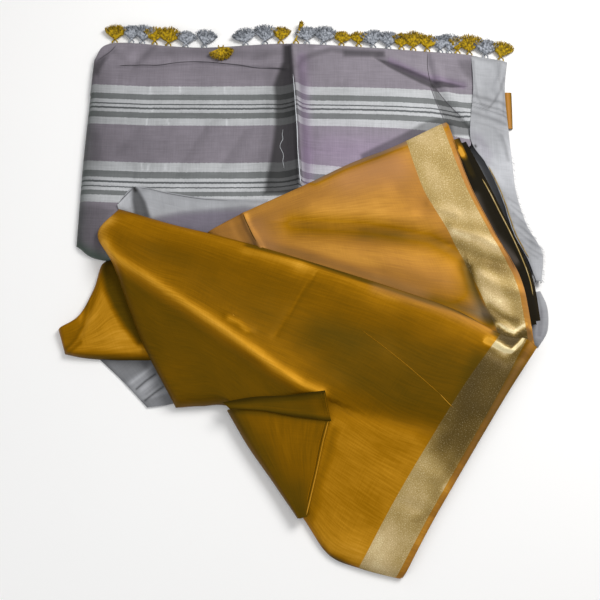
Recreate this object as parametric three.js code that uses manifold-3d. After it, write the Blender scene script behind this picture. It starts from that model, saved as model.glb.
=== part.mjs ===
// A handloom saree folded and laid on a surface. Its grey pallu, striped in white and ending
// in a row of tassels, lies lowest; its mustard silk body lies across it in several layers.
// Plan tables give x to the right and y away from the viewer, heights are above the surface.
import * as THREE from 'three';
import { mergeVertices } from 'three/addons/utils/BufferGeometryUtils.js';
import Module from 'manifold-3d';

const wasm = await Module();
wasm.setup();

// Driving sizes, in millimetres
const clothWall = 1.2;
const seam = 0.35;
const layerStep = seam + clothWall;
const slack = 0.25;
const coverMargin = 5;
const roomTop = 80;
const roomBottom = -20;
const palluHeight = 11.6;
const sideHeight = 11;
const sideEdge = 4;
const fringeHeight = 5;
const overPallu = palluHeight + 2 * layerStep + slack;
const stackHeight = 10;
const stackLayer = 3;
const stackRounding = 3.6;
const rimHeight = 1.6;
const cornerHeight = 3;
const lobeHeight = 8;
const stripHeight = 4;
const floorEdge = 2.4;
const heapLow = 8;
const heapRise = 15;
const heapCrestY = -10;
const heapSpreadBack = 320;
const heapSpreadFront = 200;
const frontLift = 4;
const foldLift = 3;
const tuckLift = 5.6;
const tuckRoll = 0.8;
const footEdge = 3.4;
const footRise = 8.6;
const overFoot = 2.8;
const leafDrops = { high: 1.8, low: 3.9 };
const leafOpenings = { high: 2, low: 5 };
const coreTop = 36;
const coreLayer = 6;
const heapCorners = 40;
const grooveDepth = 1.6;
const tasselLength = 31;
const tasselReach = 12;
const tasselLeg = 7.5;
const foldedLeg = 12.5;
const legSpread = 2.4;
const legHeight = 4.4;
const rootGap = seam + 0.45;
const knotRadius = 2.1;
const knotHeight = 4;
const tipHeight = 1.4;
const strandWidth = 1.9;
const strandSpacing = 3.8;

const greyCloth = new THREE.MeshStandardMaterial({ color: 0x878090, roughness: 0.7, metalness: 0 });
const paleGrey = new THREE.MeshStandardMaterial({ color: 0xa9a9ae, roughness: 0.7, metalness: 0 });
const mustardSilk = new THREE.MeshStandardMaterial({ color: 0xb47d1c, roughness: 0.45, metalness: 0.1 });
const darkSilk = new THREE.MeshStandardMaterial({ color: 0x6f5208, roughness: 0.5, metalness: 0.1 });
const zari = new THREE.MeshStandardMaterial({ color: 0xc8af78, roughness: 0.35, metalness: 0.6 });
const mustardThread = new THREE.MeshStandardMaterial({ color: 0xb58a12, roughness: 0.8, metalness: 0 });
const greyThread = new THREE.MeshStandardMaterial({ color: 0x868b98, roughness: 0.8, metalness: 0 });

// The pallu's fringed end, from left to right
const fringedEdge = [[-297, 357], [-269, 384], [-144, 376], [-13, 383], [144, 373], [247, 364], [299, 354]];

// Each table row is one thread line of a stretch of cloth, with the points that it runs through
const palluRows = [
  { start: fringedEdge[0], high: [-300, 291], low: [-304, 192], end: [-306, 75] },
  { start: fringedEdge[1], high: [-268, 291], low: [-270, 192], end: [-267, 55] },
  { start: fringedEdge[2], high: [-143, 291], low: [-142, 184], end: [-141, 50] },
  { start: fringedEdge[3], high: [-7, 291], low: [-3, 199], end: [1, 82] },
  { start: fringedEdge[4], high: [140, 291], low: [137, 214], end: [135, 132] },
  { start: fringedEdge[5], high: [247, 319], low: [247, 283], end: [246, 248] },
];
const sideRows = [
  { start: [249, 364], rim: [249, 307], hem: [249, 248], gap: [259, 195], turn: [277, 147],
    flank: [291, 93], low: [308, 56], end: [318, 24] },
  { start: [276, 359], rim: [268, 307], hem: [268, 248], gap: [279, 203], turn: [288, 155],
    flank: [301, 108], low: [318, 68], end: [322, 24] },
  { start: [299, 354], rim: [293, 307], hem: [295, 243], gap: [297, 199], turn: [300, 152],
    flank: [312, 102], low: [330, 65], end: [326, 22] },
];
const turnbackRows = [
  { start: [-251, 132], middle: [-248, 124], end: [-245, 116] },
  { start: [-229, 158], middle: [-224, 132], end: [-217, 104] },
  { start: [-186, 151], middle: [-181, 121], end: [-176, 87] },
  { start: [-131, 142], middle: [-129, 110], end: [-126, 78] },
  { start: [-83, 140], middle: [-82, 117], end: [-82, 92] },
  { start: [-44, 140], middle: [-48, 130], end: [-52, 118] },
];
const cornerRows = [
  { start: [-270, -78], middle: [-234, -111], end: [-200, -146] },
  { start: [-226, -63], middle: [-196, -94], end: [-170, -142] },
  { start: [-186, -63], middle: [-161, -94], end: [-142, -131] },
];
const footRows = [
  { start: [-323, -41], middle: [-318, -56], end: [-312, -75] },
  { start: [-295, -22], middle: [-295, -51], end: [-288, -80] },
  { start: [-278, 16], middle: [-272, -37], end: [-256, -83] },
  { start: [-268, 51], middle: [-251, -16], end: [-223, -84] },
  { start: [-241, 57], middle: [-217, -16], end: [-182, -84] },
];
const lobeRows = [
  { start: [310, 10], high: [310, -15], low: [308, -43], end: [307, -64] },
  { start: [325, 12], high: [333, -12], low: [331, -43], end: [317, -66] },
];
const stripRows = [
  { start: [294.2, 306], middle: [294.6, 282], end: [297, 254] },
  { start: [303, 306], middle: [302.5, 282], end: [301.5, 254] },
];
// The last three rows of the two long stretches are the border's edges and the selvedge
const upperRows = [
  { start: [-126, 91], high: [-123, 87], middle: [-119, 82], low: [-116, 79], end: [-113, 76] },
  { start: [-78, 119], high: [-71, 103], middle: [-65, 87], low: [-58, 70], end: [-51, 53] },
  { start: [0, 157], high: [4, 125], middle: [8, 93], low: [14, 60], end: [20, 28] },
  { start: [69, 192], high: [78, 143], middle: [89, 93], low: [100, 45], end: [113, -3] },
  { start: [118, 212], high: [133, 151], middle: [152, 90], low: [171, 31], end: [192, -27] },
  { start: [148, 226], high: [170, 151], middle: [199, 95], low: [229, 31], end: [263, -58] },
  { start: [199, 252], high: [228, 157], middle: [257, 89], low: [287, 22], end: [300, -66] },
  { start: [208, 252], high: [235, 156], middle: [265, 86], low: [295, 22], end: [308, -72] },
];
const frontRows = [
  { start: [-248, 125], high: [-275, 89], middle: [-251, 43], low: [-210, -58], end: [-162, -147] },
  { start: [-190, 107], high: [-203, 46], middle: [-196, -6], low: [-167, -74], end: [-129, -145] },
  { start: [-128, 89], high: [-147, 28], middle: [-152, -23], low: [-130, -81], end: [-91, -147] },
  { start: [-51, 67], high: [-79, -6], middle: [-85, -61], low: [-78, -114], end: [-60, -190] },
  { start: [40, 38], high: [0, -34], middle: [-26, -94], low: [-36, -153], end: [-30, -236] },
  { start: [133, 7], high: [92, -67], middle: [52, -133], low: [23, -204], end: [6, -290] },
  { start: [205, -20], high: [156, -101], middle: [115, -172], low: [76, -241], end: [36, -332] },
  { start: [263, -52], high: [213, -119], middle: [166, -191], low: [118, -268], end: [73, -348] },
  { start: [297, -59], high: [255, -133], middle: [206, -213], low: [159, -290], end: [119, -360] },
  { start: [310, -70], high: [266, -134], middle: [214, -216], low: [166, -293], end: [128, -360] },
];
const tuckRows = [
  { start: [-100, -143], middle: [-95, -147], end: [-90, -152] },
  { start: [-58, -136], middle: [-54, -145], end: [-49, -154] },
  { start: [-13, -134], middle: [-8, -148], end: [-3, -162] },
  { start: [32, -129], middle: [36, -149], end: [40, -167] },
];
const foldRows = [
  { start: [-95, -151], high: [-48, -150], low: [-3, -156], end: [39, -163] },
  { start: [-68, -196], high: [-33, -198], low: [-3, -199], end: [28, -203] },
  { start: [-38, -238], high: [-17, -240], low: [2, -241], end: [19, -245] },
  { start: [-3, -288], high: [1, -288], low: [5, -287], end: [9, -286] },
];
const highLeafRows = [
  { start: [182, 217], high: [215, 145], middle: [250, 80], low: [278, 18], end: [288, -39] },
  { start: [223, 231], high: [248, 162], middle: [277, 92], low: [303, 25], end: [312, -39] },
];
const lowLeafRows = [
  { start: [190, 208], high: [220, 147], middle: [254, 81], low: [279, 19], end: [288, -38] },
  { start: [232, 226], high: [260, 164], middle: [287, 97], low: [312, 29], end: [318, -33] },
];

// Outlines of the hidden layers, round each heap
const stackOutline = [
  [-270, 384], [-145, 377], [-13, 382], [145, 374], [247, 364], [294, 352], [290, 318], [289, 279],
  [290, 248], [295, 217], [296, 172], [303, 125], [319, 90], [327, 67], [323, 24], [268, -10],
  [134, -8], [-67, 13], [-203, 34], [-268, 58], [-297, 75], [-300, 120], [-299, 180],
  [-297, 279], [-294, 345],
];
const coreOutline = [
  [-107, 84], [-60, 105], [14, 138], [104, 184], [188, 222], [208, 186], [232, 120], [262, 62],
  [283, 5], [286, -57], [256, -113], [206, -189], [151, -277], [112, -335], [62, -326],
  [28, -280], [-34, -199], [-78, -144], [-140, -130], [-172, -97], [-196, -50], [-218, 12],
  [-234, 62], [-234, 96], [-178, 92],
];

// Soft folds: a path in plan, the half widths to its left and right, and its height
const palluFolds = [
  { path: [[-12, 375], [-7, 306], [-3, 229], [-2, 177]], left: 3, right: 2.4, rise: 3.4 },
  { path: [[-27, 369], [-24, 290], [-18, 172]], left: 13, right: 13, rise: -1.4 },
  { path: [[-255, 345], [-143, 352], [-21, 342]], left: 3, right: 2, rise: -1 },
  { path: [[109, 357], [143, 341], [189, 315], [233, 312]], left: 5, right: 5, rise: -1.8 },
  { path: [[184, 365], [187, 334], [206, 290], [240, 246]], left: 5, right: 4, rise: -2.2 },
  { path: [[-239, 275], [-210, 214]], left: 12, right: 12, rise: -0.9 },
];
const sideFolds = [
  { path: [[261, 340], [263, 272]], left: 5, right: 4, rise: 1.8 },
  { path: [[279, 320], [279, 266]], left: 4, right: 4, rise: 1.6 },
  { path: [[297, 132], [309, 107], [319, 84]], left: 5, right: 5, rise: 1.8 },
];
const upperFolds = [
  { path: [[-78, 119], [-68, 96], [-53, 69]], left: 5, right: 3, rise: 2.4 },
  { path: [[0, 92], [81, 91], [162, 86], [202, 68], [228, 43]], left: 16, right: 18, rise: -3 },
  { path: [[14, 115], [82, 112], [149, 108]], left: 13, right: 13, rise: 1.6 },
  { path: [[225, 38], [232, 11], [243, -20]], left: 10, right: 10, rise: -2 },
  { path: [[209, 78], [242, 60], [270, 50]], left: 8, right: 9, rise: -2.4 },
];
const frontFolds = [
  { path: [[-259, 64], [-212, 35], [-158, -2], [-104, -40], [-52, -79], [0, -118], [28, -131]],
    left: 34, right: 14, rise: 9 },
  { path: [[20, 31], [0, 6], [-33, -55]], left: 6, right: 6, rise: -0.9 },
  { path: [[249, -70], [268, -76], [285, -78]], left: 7, right: 6, rise: 2.6 },
  { path: [[40, -137], [83, -155], [128, -163], [173, -172]], left: 16, right: 12, rise: -1.6 },
  { path: [[-228, -7], [-196, -74]], left: 12, right: 12, rise: -2 },
];
const footFolds = [
  { path: [[-312, -71], [-292, -51], [-275, -3], [-269, 39]], left: 5, right: 7, rise: -3 },
  { path: [[-309, -71], [-271, -74], [-211, -71]], left: 7, right: 6, rise: 1.8 },
];
const turnbackFolds = [
  { path: [[-227, 154], [-221, 138]], left: 8, right: 9, rise: 2.6 },
];

// Tassels from left to right, at their knots
const tassels = [
  { x: -269, dye: 'mustard', lean: 6 }, { x: -245, dye: 'grey', lean: 2 },
  { x: -229, dye: 'grey', lean: 8 }, { x: -211, dye: 'mustard', lean: 0 },
  { x: -191, dye: 'mustard', lean: 4 }, { x: -166, dye: 'grey', lean: 8 },
  { x: -139, dye: 'grey', lean: 8 }, { x: -114, dye: 'mustard', lean: 0, foldedDown: true },
  { x: -79, dye: 'grey', lean: -4 }, { x: -51, dye: 'grey', lean: 4 },
  { x: -28, dye: 'mustard', lean: 2 }, { x: -9, dye: 'mustard', lean: 14 },
  { x: 10, dye: 'grey', lean: 2 }, { x: 34, dye: 'grey', lean: 6 },
  { x: 60, dye: 'mustard', lean: 0 }, { x: 85, dye: 'mustard', lean: 2 },
  { x: 106, dye: 'grey', lean: 4 }, { x: 128, dye: 'grey', lean: 0 },
  { x: 147, dye: 'mustard', lean: 2 }, { x: 164, dye: 'mustard', lean: 4 },
  { x: 184, dye: 'mustard', lean: 6 }, { x: 203, dye: 'grey', lean: 0 },
  { x: 216, dye: 'grey', lean: 4 }, { x: 228, dye: 'mustard', lean: 2 },
  { x: 245, dye: 'mustard', lean: 6 }, { x: 268, dye: 'grey', lean: 8 },
  { x: 290, dye: 'mustard', lean: 10 },
];

function smoothStep(low, high, value) {
  const t = Math.min(Math.max((value - low) / (high - low), 0), 1);
  return t * t * (3 - 2 * t);
}

// A smooth curve through plan points; position counts from point to point
function splinePoint(points, position) {
  const i = Math.min(Math.max(Math.floor(position), 0), points.length - 2);
  const f = position - i;
  const p1 = points[i];
  const p2 = points[i + 1];
  const p0 = points[i - 1] ?? [2 * p1[0] - p2[0], 2 * p1[1] - p2[1]];
  const p3 = points[i + 2] ?? [2 * p2[0] - p1[0], 2 * p2[1] - p1[1]];
  return [0, 1].map((k) => {
    const slope = p2[k] - p0[k];
    const bend = 2 * p0[k] - 5 * p1[k] + 4 * p2[k] - p3[k];
    const twist = 3 * p1[k] - p0[k] - 3 * p2[k] + p3[k];
    return p1[k] + 0.5 * (slope * f + bend * f * f + twist * f * f * f);
  });
}

// The height that a table of folds adds at a plan point
function foldRise(folds, x, y) {
  let total = 0;
  for (const { path, left, right, rise } of folds) {
    let nearest = Infinity;
    let width = left;
    for (let i = 0; i + 1 < path.length; i += 1) {
      const [ax, ay] = path[i];
      const dx = path[i + 1][0] - ax;
      const dy = path[i + 1][1] - ay;
      const t = Math.min(Math.max(((x - ax) * dx + (y - ay) * dy) / (dx * dx + dy * dy), 0), 1);
      const distance = Math.hypot(x - ax - t * dx, y - ay - t * dy);
      if (distance < nearest) {
        nearest = distance;
        width = dx * (y - ay) - dy * (x - ax) > 0 ? left : right;
      }
    }
    total += rise * Math.exp(-((nearest / width) ** 2));
  }
  return total;
}

// The silk heap is highest along its middle and falls to the front and the back
function heapHeight(y) {
  const spread = y > heapCrestY ? heapSpreadBack : heapSpreadFront;
  return heapLow + heapRise * Math.exp(-(((y - heapCrestY) / spread) ** 2));
}

// How far the cloth at the left has climbed from the surface onto the pallu
const climb = (y) => smoothStep(-150, -40, y);

// What the front stretch's edges come down on: the surface, the foot or the pallu
function frontRest(y) {
  const onFoot = overFoot * smoothStep(-200, -150, y);
  return floorEdge + onFoot + (overPallu - floorEdge - overFoot) * climb(y);
}

// The front stretch's upper edge lies on the silk heap, but for its left end
function frontEdge(x, y, v) {
  const low = frontRest(y);
  const onHeap = v < 0.5 ? smoothStep(-180, -110, x) : 0;
  return low + (heapHeight(y) + layerStep + slack - low) * onHeap;
}

// The pallu comes down to the surface at its left fold, and less far at its fringed end
function palluRest(x, y) {
  const left = floorEdge + (palluHeight - floorEdge) * smoothStep(-262, -225, x);
  return y > 300 ? fringeHeight : left;
}

// The inner layers open like a book in the middle of the right-hand gap
function leafHeight(name, y) {
  const opening = smoothStep(-40, 30, y) * (1 - smoothStep(150, 230, y));
  return Math.max(heapHeight(y) - leafDrops[name] - leafOpenings[name] * opening, overPallu - layerStep);
}

const frontTop = (x, y) => heapHeight(y) + frontLift + foldRise(frontFolds, x, y);

// Each cloth: its rows, where it is parted and how finely it is meshed, how far its rolled edges
// run (a share of its length, or of the spacing of its rows), its top, and what those edges rest on
const cloths = {
  pallu: {
    rows: palluRows,
    mesh: { cuts: [0, 5], across: [14], along: 9 },
    rolls: { start: 0.035, end: 0.04, first: 0.35 },
    top: (x, y) => palluHeight + foldRise(palluFolds, x, y),
    rest: palluRest,
  },
  side: {
    rows: sideRows,
    mesh: { cuts: [0, 2], across: [4], along: 12 },
    rolls: { start: 0.03, last: 0.4 },
    top: (x, y) => sideHeight + foldRise(sideFolds, x, y),
    rest: () => sideEdge,
  },
  turnback: {
    rows: turnbackRows,
    mesh: { cuts: [0, 5], across: [10], along: 4 },
    rolls: { start: 0.2 },
    top: (x, y) => palluHeight + layerStep + foldRise(turnbackFolds, x, y),
    rest: () => palluHeight + layerStep,
  },
  corner: {
    rows: cornerRows,
    mesh: { cuts: [0, 2], across: [3], along: 4 },
    rolls: { first: 0.1 },
    top: () => cornerHeight,
    rest: () => rimHeight,
  },
  foot: {
    rows: footRows,
    mesh: { cuts: [0, 4], across: [7], along: 4 },
    rolls: { start: 0.16, end: 0.1, first: 0.3 },
    top: (x, y) => footEdge + footRise * climb(y) + foldRise(footFolds, x, y),
    rest: () => rimHeight,
  },
  lobe: {
    rows: lobeRows,
    mesh: { cuts: [0, 1], across: [2], along: 6 },
    rolls: { start: 0.15, end: 0.15, last: 0.6 },
    top: () => lobeHeight,
    rest: () => rimHeight,
  },
  strip: {
    rows: stripRows,
    mesh: { cuts: [0, 1], across: [1], along: 2 },
    rolls: { last: 0.3 },
    top: () => stripHeight,
    rest: () => rimHeight,
  },
  upper: {
    rows: upperRows,
    mesh: { cuts: [0, 5, 6, 7], across: [10, 2, 1], along: 10 },
    rolls: { start: 0.07, first: 0.3 },
    top: (x, y) => heapHeight(y) + foldRise(upperFolds, x, y),
    rest: () => overPallu,
  },
  front: {
    rows: frontRows,
    mesh: { cuts: [0, 7, 8, 9], across: [16, 2, 1], along: 12 },
    rolls: { start: 0.05, end: 0.06, first: 0.35 },
    top: frontTop,
    rest: frontEdge,
  },
  tuck: {
    rows: tuckRows,
    mesh: { cuts: [0, 3], across: [6], along: 2 },
    rolls: { end: 0.15 },
    top: (x, y) => frontTop(x, y) + tuckLift,
    rest: (x, y) => frontTop(x, y) + tuckLift - tuckRoll,
  },
  fold: {
    rows: foldRows,
    mesh: { cuts: [0, 3], across: [6], along: 6 },
    rolls: { start: 0.14 },
    top: (x, y) => frontTop(x, y) + foldLift,
    rest: (x, y) => frontRest(y) + foldLift,
  },
  highLeaf: {
    rows: highLeafRows,
    mesh: { cuts: [0, 1], across: [2], along: 12 },
    rolls: {},
    top: (x, y) => leafHeight('high', y),
    rest: () => 0,
  },
  lowLeaf: {
    rows: lowLeafRows,
    mesh: { cuts: [0, 1], across: [2], along: 12 },
    rolls: {},
    top: (x, y) => leafHeight('low', y),
    rest: () => 0,
  },
};

// How far a point has risen over a rolled edge: 0 on the edge, 1 past the roll
function rollShare(distance, run) {
  if (!run || distance >= run) return 1;
  return Math.sqrt(1 - (1 - Math.max(distance / run, 0)) ** 2);
}

function clothPoint(cloth, u, v) {
  const across = cloth.rows.map((row) => {
    const points = Object.values(row);
    return splinePoint(points, v * (points.length - 1));
  });
  const [x, y] = splinePoint(across, u);
  const { start, end, first, last } = cloth.rolls;
  const rise = rollShare(v, start) * rollShare(1 - v, end)
    * rollShare(u, first) * rollShare(cloth.rows.length - 1 - u, last);
  const low = cloth.rest(x, y, v);
  return new THREE.Vector3(x, y, low + (cloth.top(x, y) - low) * rise);
}

// Places of the mesh lines between two limits, closer over a rolled edge at either end
function meshLines(from, to, count, rollFrom = 0, rollTo = 0) {
  const closeUp = [0, 0.1, 0.4];
  const inner = Array.from({ length: count + 1 }, (_, i) => (
    from + rollFrom + (to - from - rollFrom - rollTo) * (i / count)));
  const before = rollFrom ? closeUp.map((share) => from + share * rollFrom) : [];
  const after = rollTo ? closeUp.map((share) => to - share * rollTo).reverse() : [];
  return [...before, ...inner, ...after];
}

// A cloth's mesh lines: one list for each piece that it is parted into, and those along its rows
function clothLines(cloth) {
  const { cuts, across, along } = cloth.mesh;
  const final = cloth.rows.length - 1;
  const pieces = across.map((count, k) => {
    const [from, to] = [cuts[k], cuts[k + 1]];
    const inset = (edge) => (edge > 0 && edge < final ? seam / 2 / rowSpacing(cloth, edge) : 0);
    return meshLines(from + inset(from), to - inset(to), count,
      from === 0 ? cloth.rolls.first : 0, to === final ? cloth.rolls.last : 0);
  });
  return { pieces, along: meshLines(0, 1, along, cloth.rolls.start, cloth.rolls.end) };
}

function rowSpacing(cloth, edge) {
  const near = 0.05;
  return clothPoint(cloth, edge, 0.5).distanceTo(clothPoint(cloth, edge - near, 0.5)) / near;
}

// The closed body between two sheets of points with the same plan
function closedBody(upper, lower) {
  const across = upper.length;
  const along = upper[0].length;
  const positions = [upper, lower].flatMap((sheet) => (
    sheet.flatMap((line) => line.flatMap((point) => point.toArray()))));
  const at = (sheet, i, j) => sheet * across * along + i * along + j;
  const faces = [];
  const quad = (a, b, c, d) => faces.push(a, b, c, a, c, d);
  for (let i = 0; i + 1 < across; i += 1) {
    for (let j = 0; j + 1 < along; j += 1) {
      quad(at(0, i, j), at(0, i + 1, j), at(0, i + 1, j + 1), at(0, i, j + 1));
      quad(at(1, i, j), at(1, i, j + 1), at(1, i + 1, j + 1), at(1, i + 1, j));
    }
  }
  for (let i = 0; i + 1 < across; i += 1) {
    quad(at(0, i, 0), at(1, i, 0), at(1, i + 1, 0), at(0, i + 1, 0));
    quad(at(0, i, along - 1), at(0, i + 1, along - 1), at(1, i + 1, along - 1), at(1, i, along - 1));
  }
  for (let j = 0; j + 1 < along; j += 1) {
    quad(at(0, 0, j), at(0, 0, j + 1), at(1, 0, j + 1), at(1, 0, j));
    quad(at(0, across - 1, j), at(1, across - 1, j), at(1, across - 1, j + 1), at(0, across - 1, j + 1));
  }
  return outward(positions, faces);
}

// A geometry whose faces point out, whichever way its rows were listed
function outward(positions, faces) {
  const point = (index) => new THREE.Vector3().fromArray(positions, 3 * index);
  let volume = 0;
  for (let i = 0; i < faces.length; i += 3) {
    const [a, b, c] = [point(faces[i]), point(faces[i + 1]), point(faces[i + 2])];
    volume += a.dot(b.cross(c));
  }
  const index = [...faces];
  if (volume < 0) index.reverse();
  const geometry = new THREE.BufferGeometry();
  geometry.setAttribute('position', new THREE.Float32BufferAttribute(positions, 3));
  geometry.setIndex(index);
  return geometry;
}

// A body on a set of mesh lines of a cloth: topOf and bottomOf set its faces' heights
function clothBody(cloth, uLines, vLines, topOf, bottomOf) {
  const sheet = (heightOf) => uLines.map((u) => vLines.map((v) => {
    const point = clothPoint(cloth, u, v);
    point.z = heightOf(point.z);
    return point;
  }));
  return toSolid(closedBody(sheet(topOf), sheet(bottomOf)));
}

// A body over a whole cloth and a margin round it
function clothRoom(cloth, margin, topOf, bottomOf) {
  const { pieces, along } = clothLines(cloth);
  const middleRow = (cloth.rows.length - 1) / 2;
  const marginU = margin / rowSpacing(cloth, Math.max(middleRow, 1));
  const marginV = margin / clothPoint(cloth, middleRow, 0).distanceTo(clothPoint(cloth, middleRow, 1));
  const across = pieces.flat();
  const uLines = [across[0] - marginU, ...across, across[across.length - 1] + marginU];
  return clothBody(cloth, uLines, [-marginV, ...along, 1 + marginV], topOf, bottomOf);
}

const sameHeight = (z) => z;
const underside = (z) => z - clothWall;
const onFloor = () => 0;

function toSolid(geometry) {
  const bare = geometry.clone();
  bare.deleteAttribute('normal');
  bare.deleteAttribute('uv');
  const merged = mergeVertices(bare, 1e-4);
  return new wasm.Manifold(new wasm.Mesh({
    numProp: 3,
    vertProperties: new Float32Array(merged.attributes.position.array),
    triVerts: new Uint32Array(merged.index.array),
  }));
}

function toGeometry(solid) {
  const { vertProperties, triVerts } = solid.getMesh();
  const geometry = new THREE.BufferGeometry();
  geometry.setAttribute('position', new THREE.BufferAttribute(vertProperties, 3));
  geometry.setIndex(new THREE.BufferAttribute(triVerts, 1));
  return geometry;
}

function clothSheet(cloth, piece = 0) {
  const { pieces, along } = clothLines(cloth);
  return clothBody(cloth, pieces[piece], along, sameHeight, underside);
}

function clothHeap(cloth) {
  const { pieces, along } = clothLines(cloth);
  return clothBody(cloth, pieces[0], along, sameHeight, onFloor);
}

// All the room over a cloth's underside, and all the room below its top, wider by a margin
const roomAbove = (cloth) => clothRoom(cloth, coverMargin, () => roomTop, (z) => z - layerStep);
const roomBelow = (cloth) => clothRoom(cloth, seam, (z) => z + seam, () => roomBottom);

// A heap of hidden layers: its outline, smoothed, at each height of a profile of insets
function heapSolid(outline, profile, count, grow = 0) {
  const curve = new THREE.CatmullRomCurve3(outline.map(([x, y]) => new THREE.Vector3(x, y, 0)), true);
  const rim = Array.from({ length: count }, (_, i) => curve.getPoint(i / count));
  if (THREE.ShapeUtils.isClockWise(rim)) rim.reverse();
  const inward = rim.map((_, i) => {
    const tangent = rim[(i + 1) % count].clone().sub(rim[(i + count - 1) % count]).normalize();
    return new THREE.Vector3(-tangent.y, tangent.x, 0);
  });
  const rings = profile.map(({ inset, z }) => (
    rim.map((point, i) => point.clone().addScaledVector(inward[i], inset - grow).setZ(z))));
  const faces = [];
  for (let low = 0; low < (rings.length - 1) * count; low += count) {
    for (let i = 0; i < count; i += 1) {
      const next = (i + 1) % count;
      faces.push(low + i, low + next, low + count + next);
      faces.push(low + i, low + count + next, low + count + i);
    }
  }
  const top = (rings.length - 1) * count;
  for (const [a, b, c] of THREE.ShapeUtils.triangulateShape(rim, [])) {
    faces.push(a, c, b, top + a, top + b, top + c);
  }
  return toSolid(outward(rings.flat().flatMap((point) => point.toArray()), faces));
}

// Folded edges show as rounded bands with a groove between two layers
function layeredProfile(top, layer, rounding) {
  const profile = [{ inset: grooveDepth, z: 0 }];
  for (let z = 0; z + layer <= top - rounding; z += layer) {
    profile.push({ inset: 0, z: z + 0.5 * layer }, { inset: grooveDepth, z: z + layer });
  }
  if (rounding) profile.push({ inset: rounding, z: top });
  return profile;
}

// A tapering strand of three sides through plan points with heights
function strandSolid(points, widths) {
  const positions = [];
  const toCorner = 1 / Math.sqrt(3);
  const axis = points[points.length - 1].clone().sub(points[0]).normalize();
  const sideways = new THREE.Vector3(-axis.y, axis.x, 0).normalize();
  const up = axis.clone().cross(sideways);
  if (up.z < 0) up.negate();
  points.forEach((point, k) => {
    for (let corner = 0; corner < 3; corner += 1) {
      const angle = (corner / 3) * 2 * Math.PI - Math.PI / 6;
      const place = point.clone()
        .addScaledVector(sideways, toCorner * widths[k] * Math.cos(angle))
        .addScaledVector(up, toCorner * widths[k] * Math.sin(angle));
      positions.push(...place.toArray());
    }
  });
  const faces = [0, 2, 1];
  for (let k = 0; k + 1 < points.length; k += 1) {
    for (let corner = 0; corner < 3; corner += 1) {
      const a = 3 * k + corner;
      const b = 3 * k + ((corner + 1) % 3);
      faces.push(a, b, b + 3, a, b + 3, a + 3);
    }
  }
  const end = 3 * (points.length - 1);
  faces.push(end, end + 1, end + 2);
  return toSolid(outward(positions, faces));
}

// How far back the fringed edge lies at a place across it
function edgeDepth(x) {
  let low = 0;
  let high = fringedEdge.length - 1;
  for (let step = 0; step < 20; step += 1) {
    const middle = (low + high) / 2;
    if (splinePoint(fringedEdge, middle)[0] < x) low = middle;
    else high = middle;
  }
  return splinePoint(fringedEdge, low)[1];
}

// A tassel: a knot that two legs tie to the cloth's edge, and strands that fan out from it
function tasselSolid(index) {
  const { x, lean, foldedDown } = tassels[index];
  const spacings = tassels.filter((other) => other.x !== x).map((other) => Math.abs(other.x - x));
  const halfFan = Math.min(0.5 * Math.min(...spacings) - 1, tasselReach);
  const outwardY = foldedDown ? -1 : 1;
  const edge = edgeDepth(x);
  const knotZ = foldedDown ? palluHeight + seam + knotRadius : knotHeight;
  const tipZ = foldedDown ? palluHeight + seam + strandWidth : tipHeight;
  const knot = new THREE.Vector3(x, edge + (foldedDown ? -foldedLeg : tasselLeg), knotZ);
  const ball = new THREE.SphereGeometry(knotRadius, 5, 3);
  ball.rotateX(Math.PI / 2);
  ball.translate(...knot.toArray());
  let solid = toSolid(ball);
  const count = Math.max(3, Math.floor((2 * halfFan) / strandSpacing));
  for (let i = 0; i < count; i += 1) {
    const share = (2 * i) / (count - 1) - 1;
    const reach = tasselLength - 4 * share * share - 2 * (i % 2);
    const tip = new THREE.Vector3(
      x + share * halfFan + 0.05 * lean,
      knot.y + outwardY * (reach - tasselLeg), tipZ);
    const middle = knot.clone().lerp(tip, 0.5).setZ(0.5 * (knotZ + tipZ) + 0.8);
    middle.x += share * 0.15 * halfFan;
    solid = solid.add(strandSolid([knot, middle, tip], [strandWidth, strandWidth, 0.8 * strandWidth]));
  }
  if (!foldedDown) {
    for (const side of [-1, 1]) {
      const rootX = x + legSpread * side;
      const root = new THREE.Vector3(rootX, edgeDepth(rootX) + rootGap, legHeight);
      solid = solid.add(strandSolid([knot, root], [strandWidth, strandWidth]));
    }
  }
  return solid;
}

const group = new THREE.Group();

function addPiece(name, solid, material) {
  const mesh = new THREE.Mesh(toGeometry(solid), material);
  mesh.name = name;
  group.add(mesh);
}

const corner = clothHeap(cloths.corner);
const overCorner = roomBelow(cloths.corner);
const aboveFront = roomAbove(cloths.front);
const aboveUpper = roomAbove(cloths.upper);
const stackProfile = layeredProfile(stackHeight, stackLayer, stackRounding);
const stack = heapSolid(stackOutline, stackProfile, heapCorners)
  .subtract(roomAbove(cloths.pallu))
  .subtract(roomAbove(cloths.side));
const plainSides = (top) => [{ inset: 0, z: -1 }, { inset: 0, z: top }];
const roundStack = heapSolid(stackOutline, plainSides(stackHeight + seam), heapCorners, seam);
const coreProfile = layeredProfile(coreTop, coreLayer, 0);
const roundCore = heapSolid(coreOutline, plainSides(coreTop), heapCorners, seam);

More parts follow.
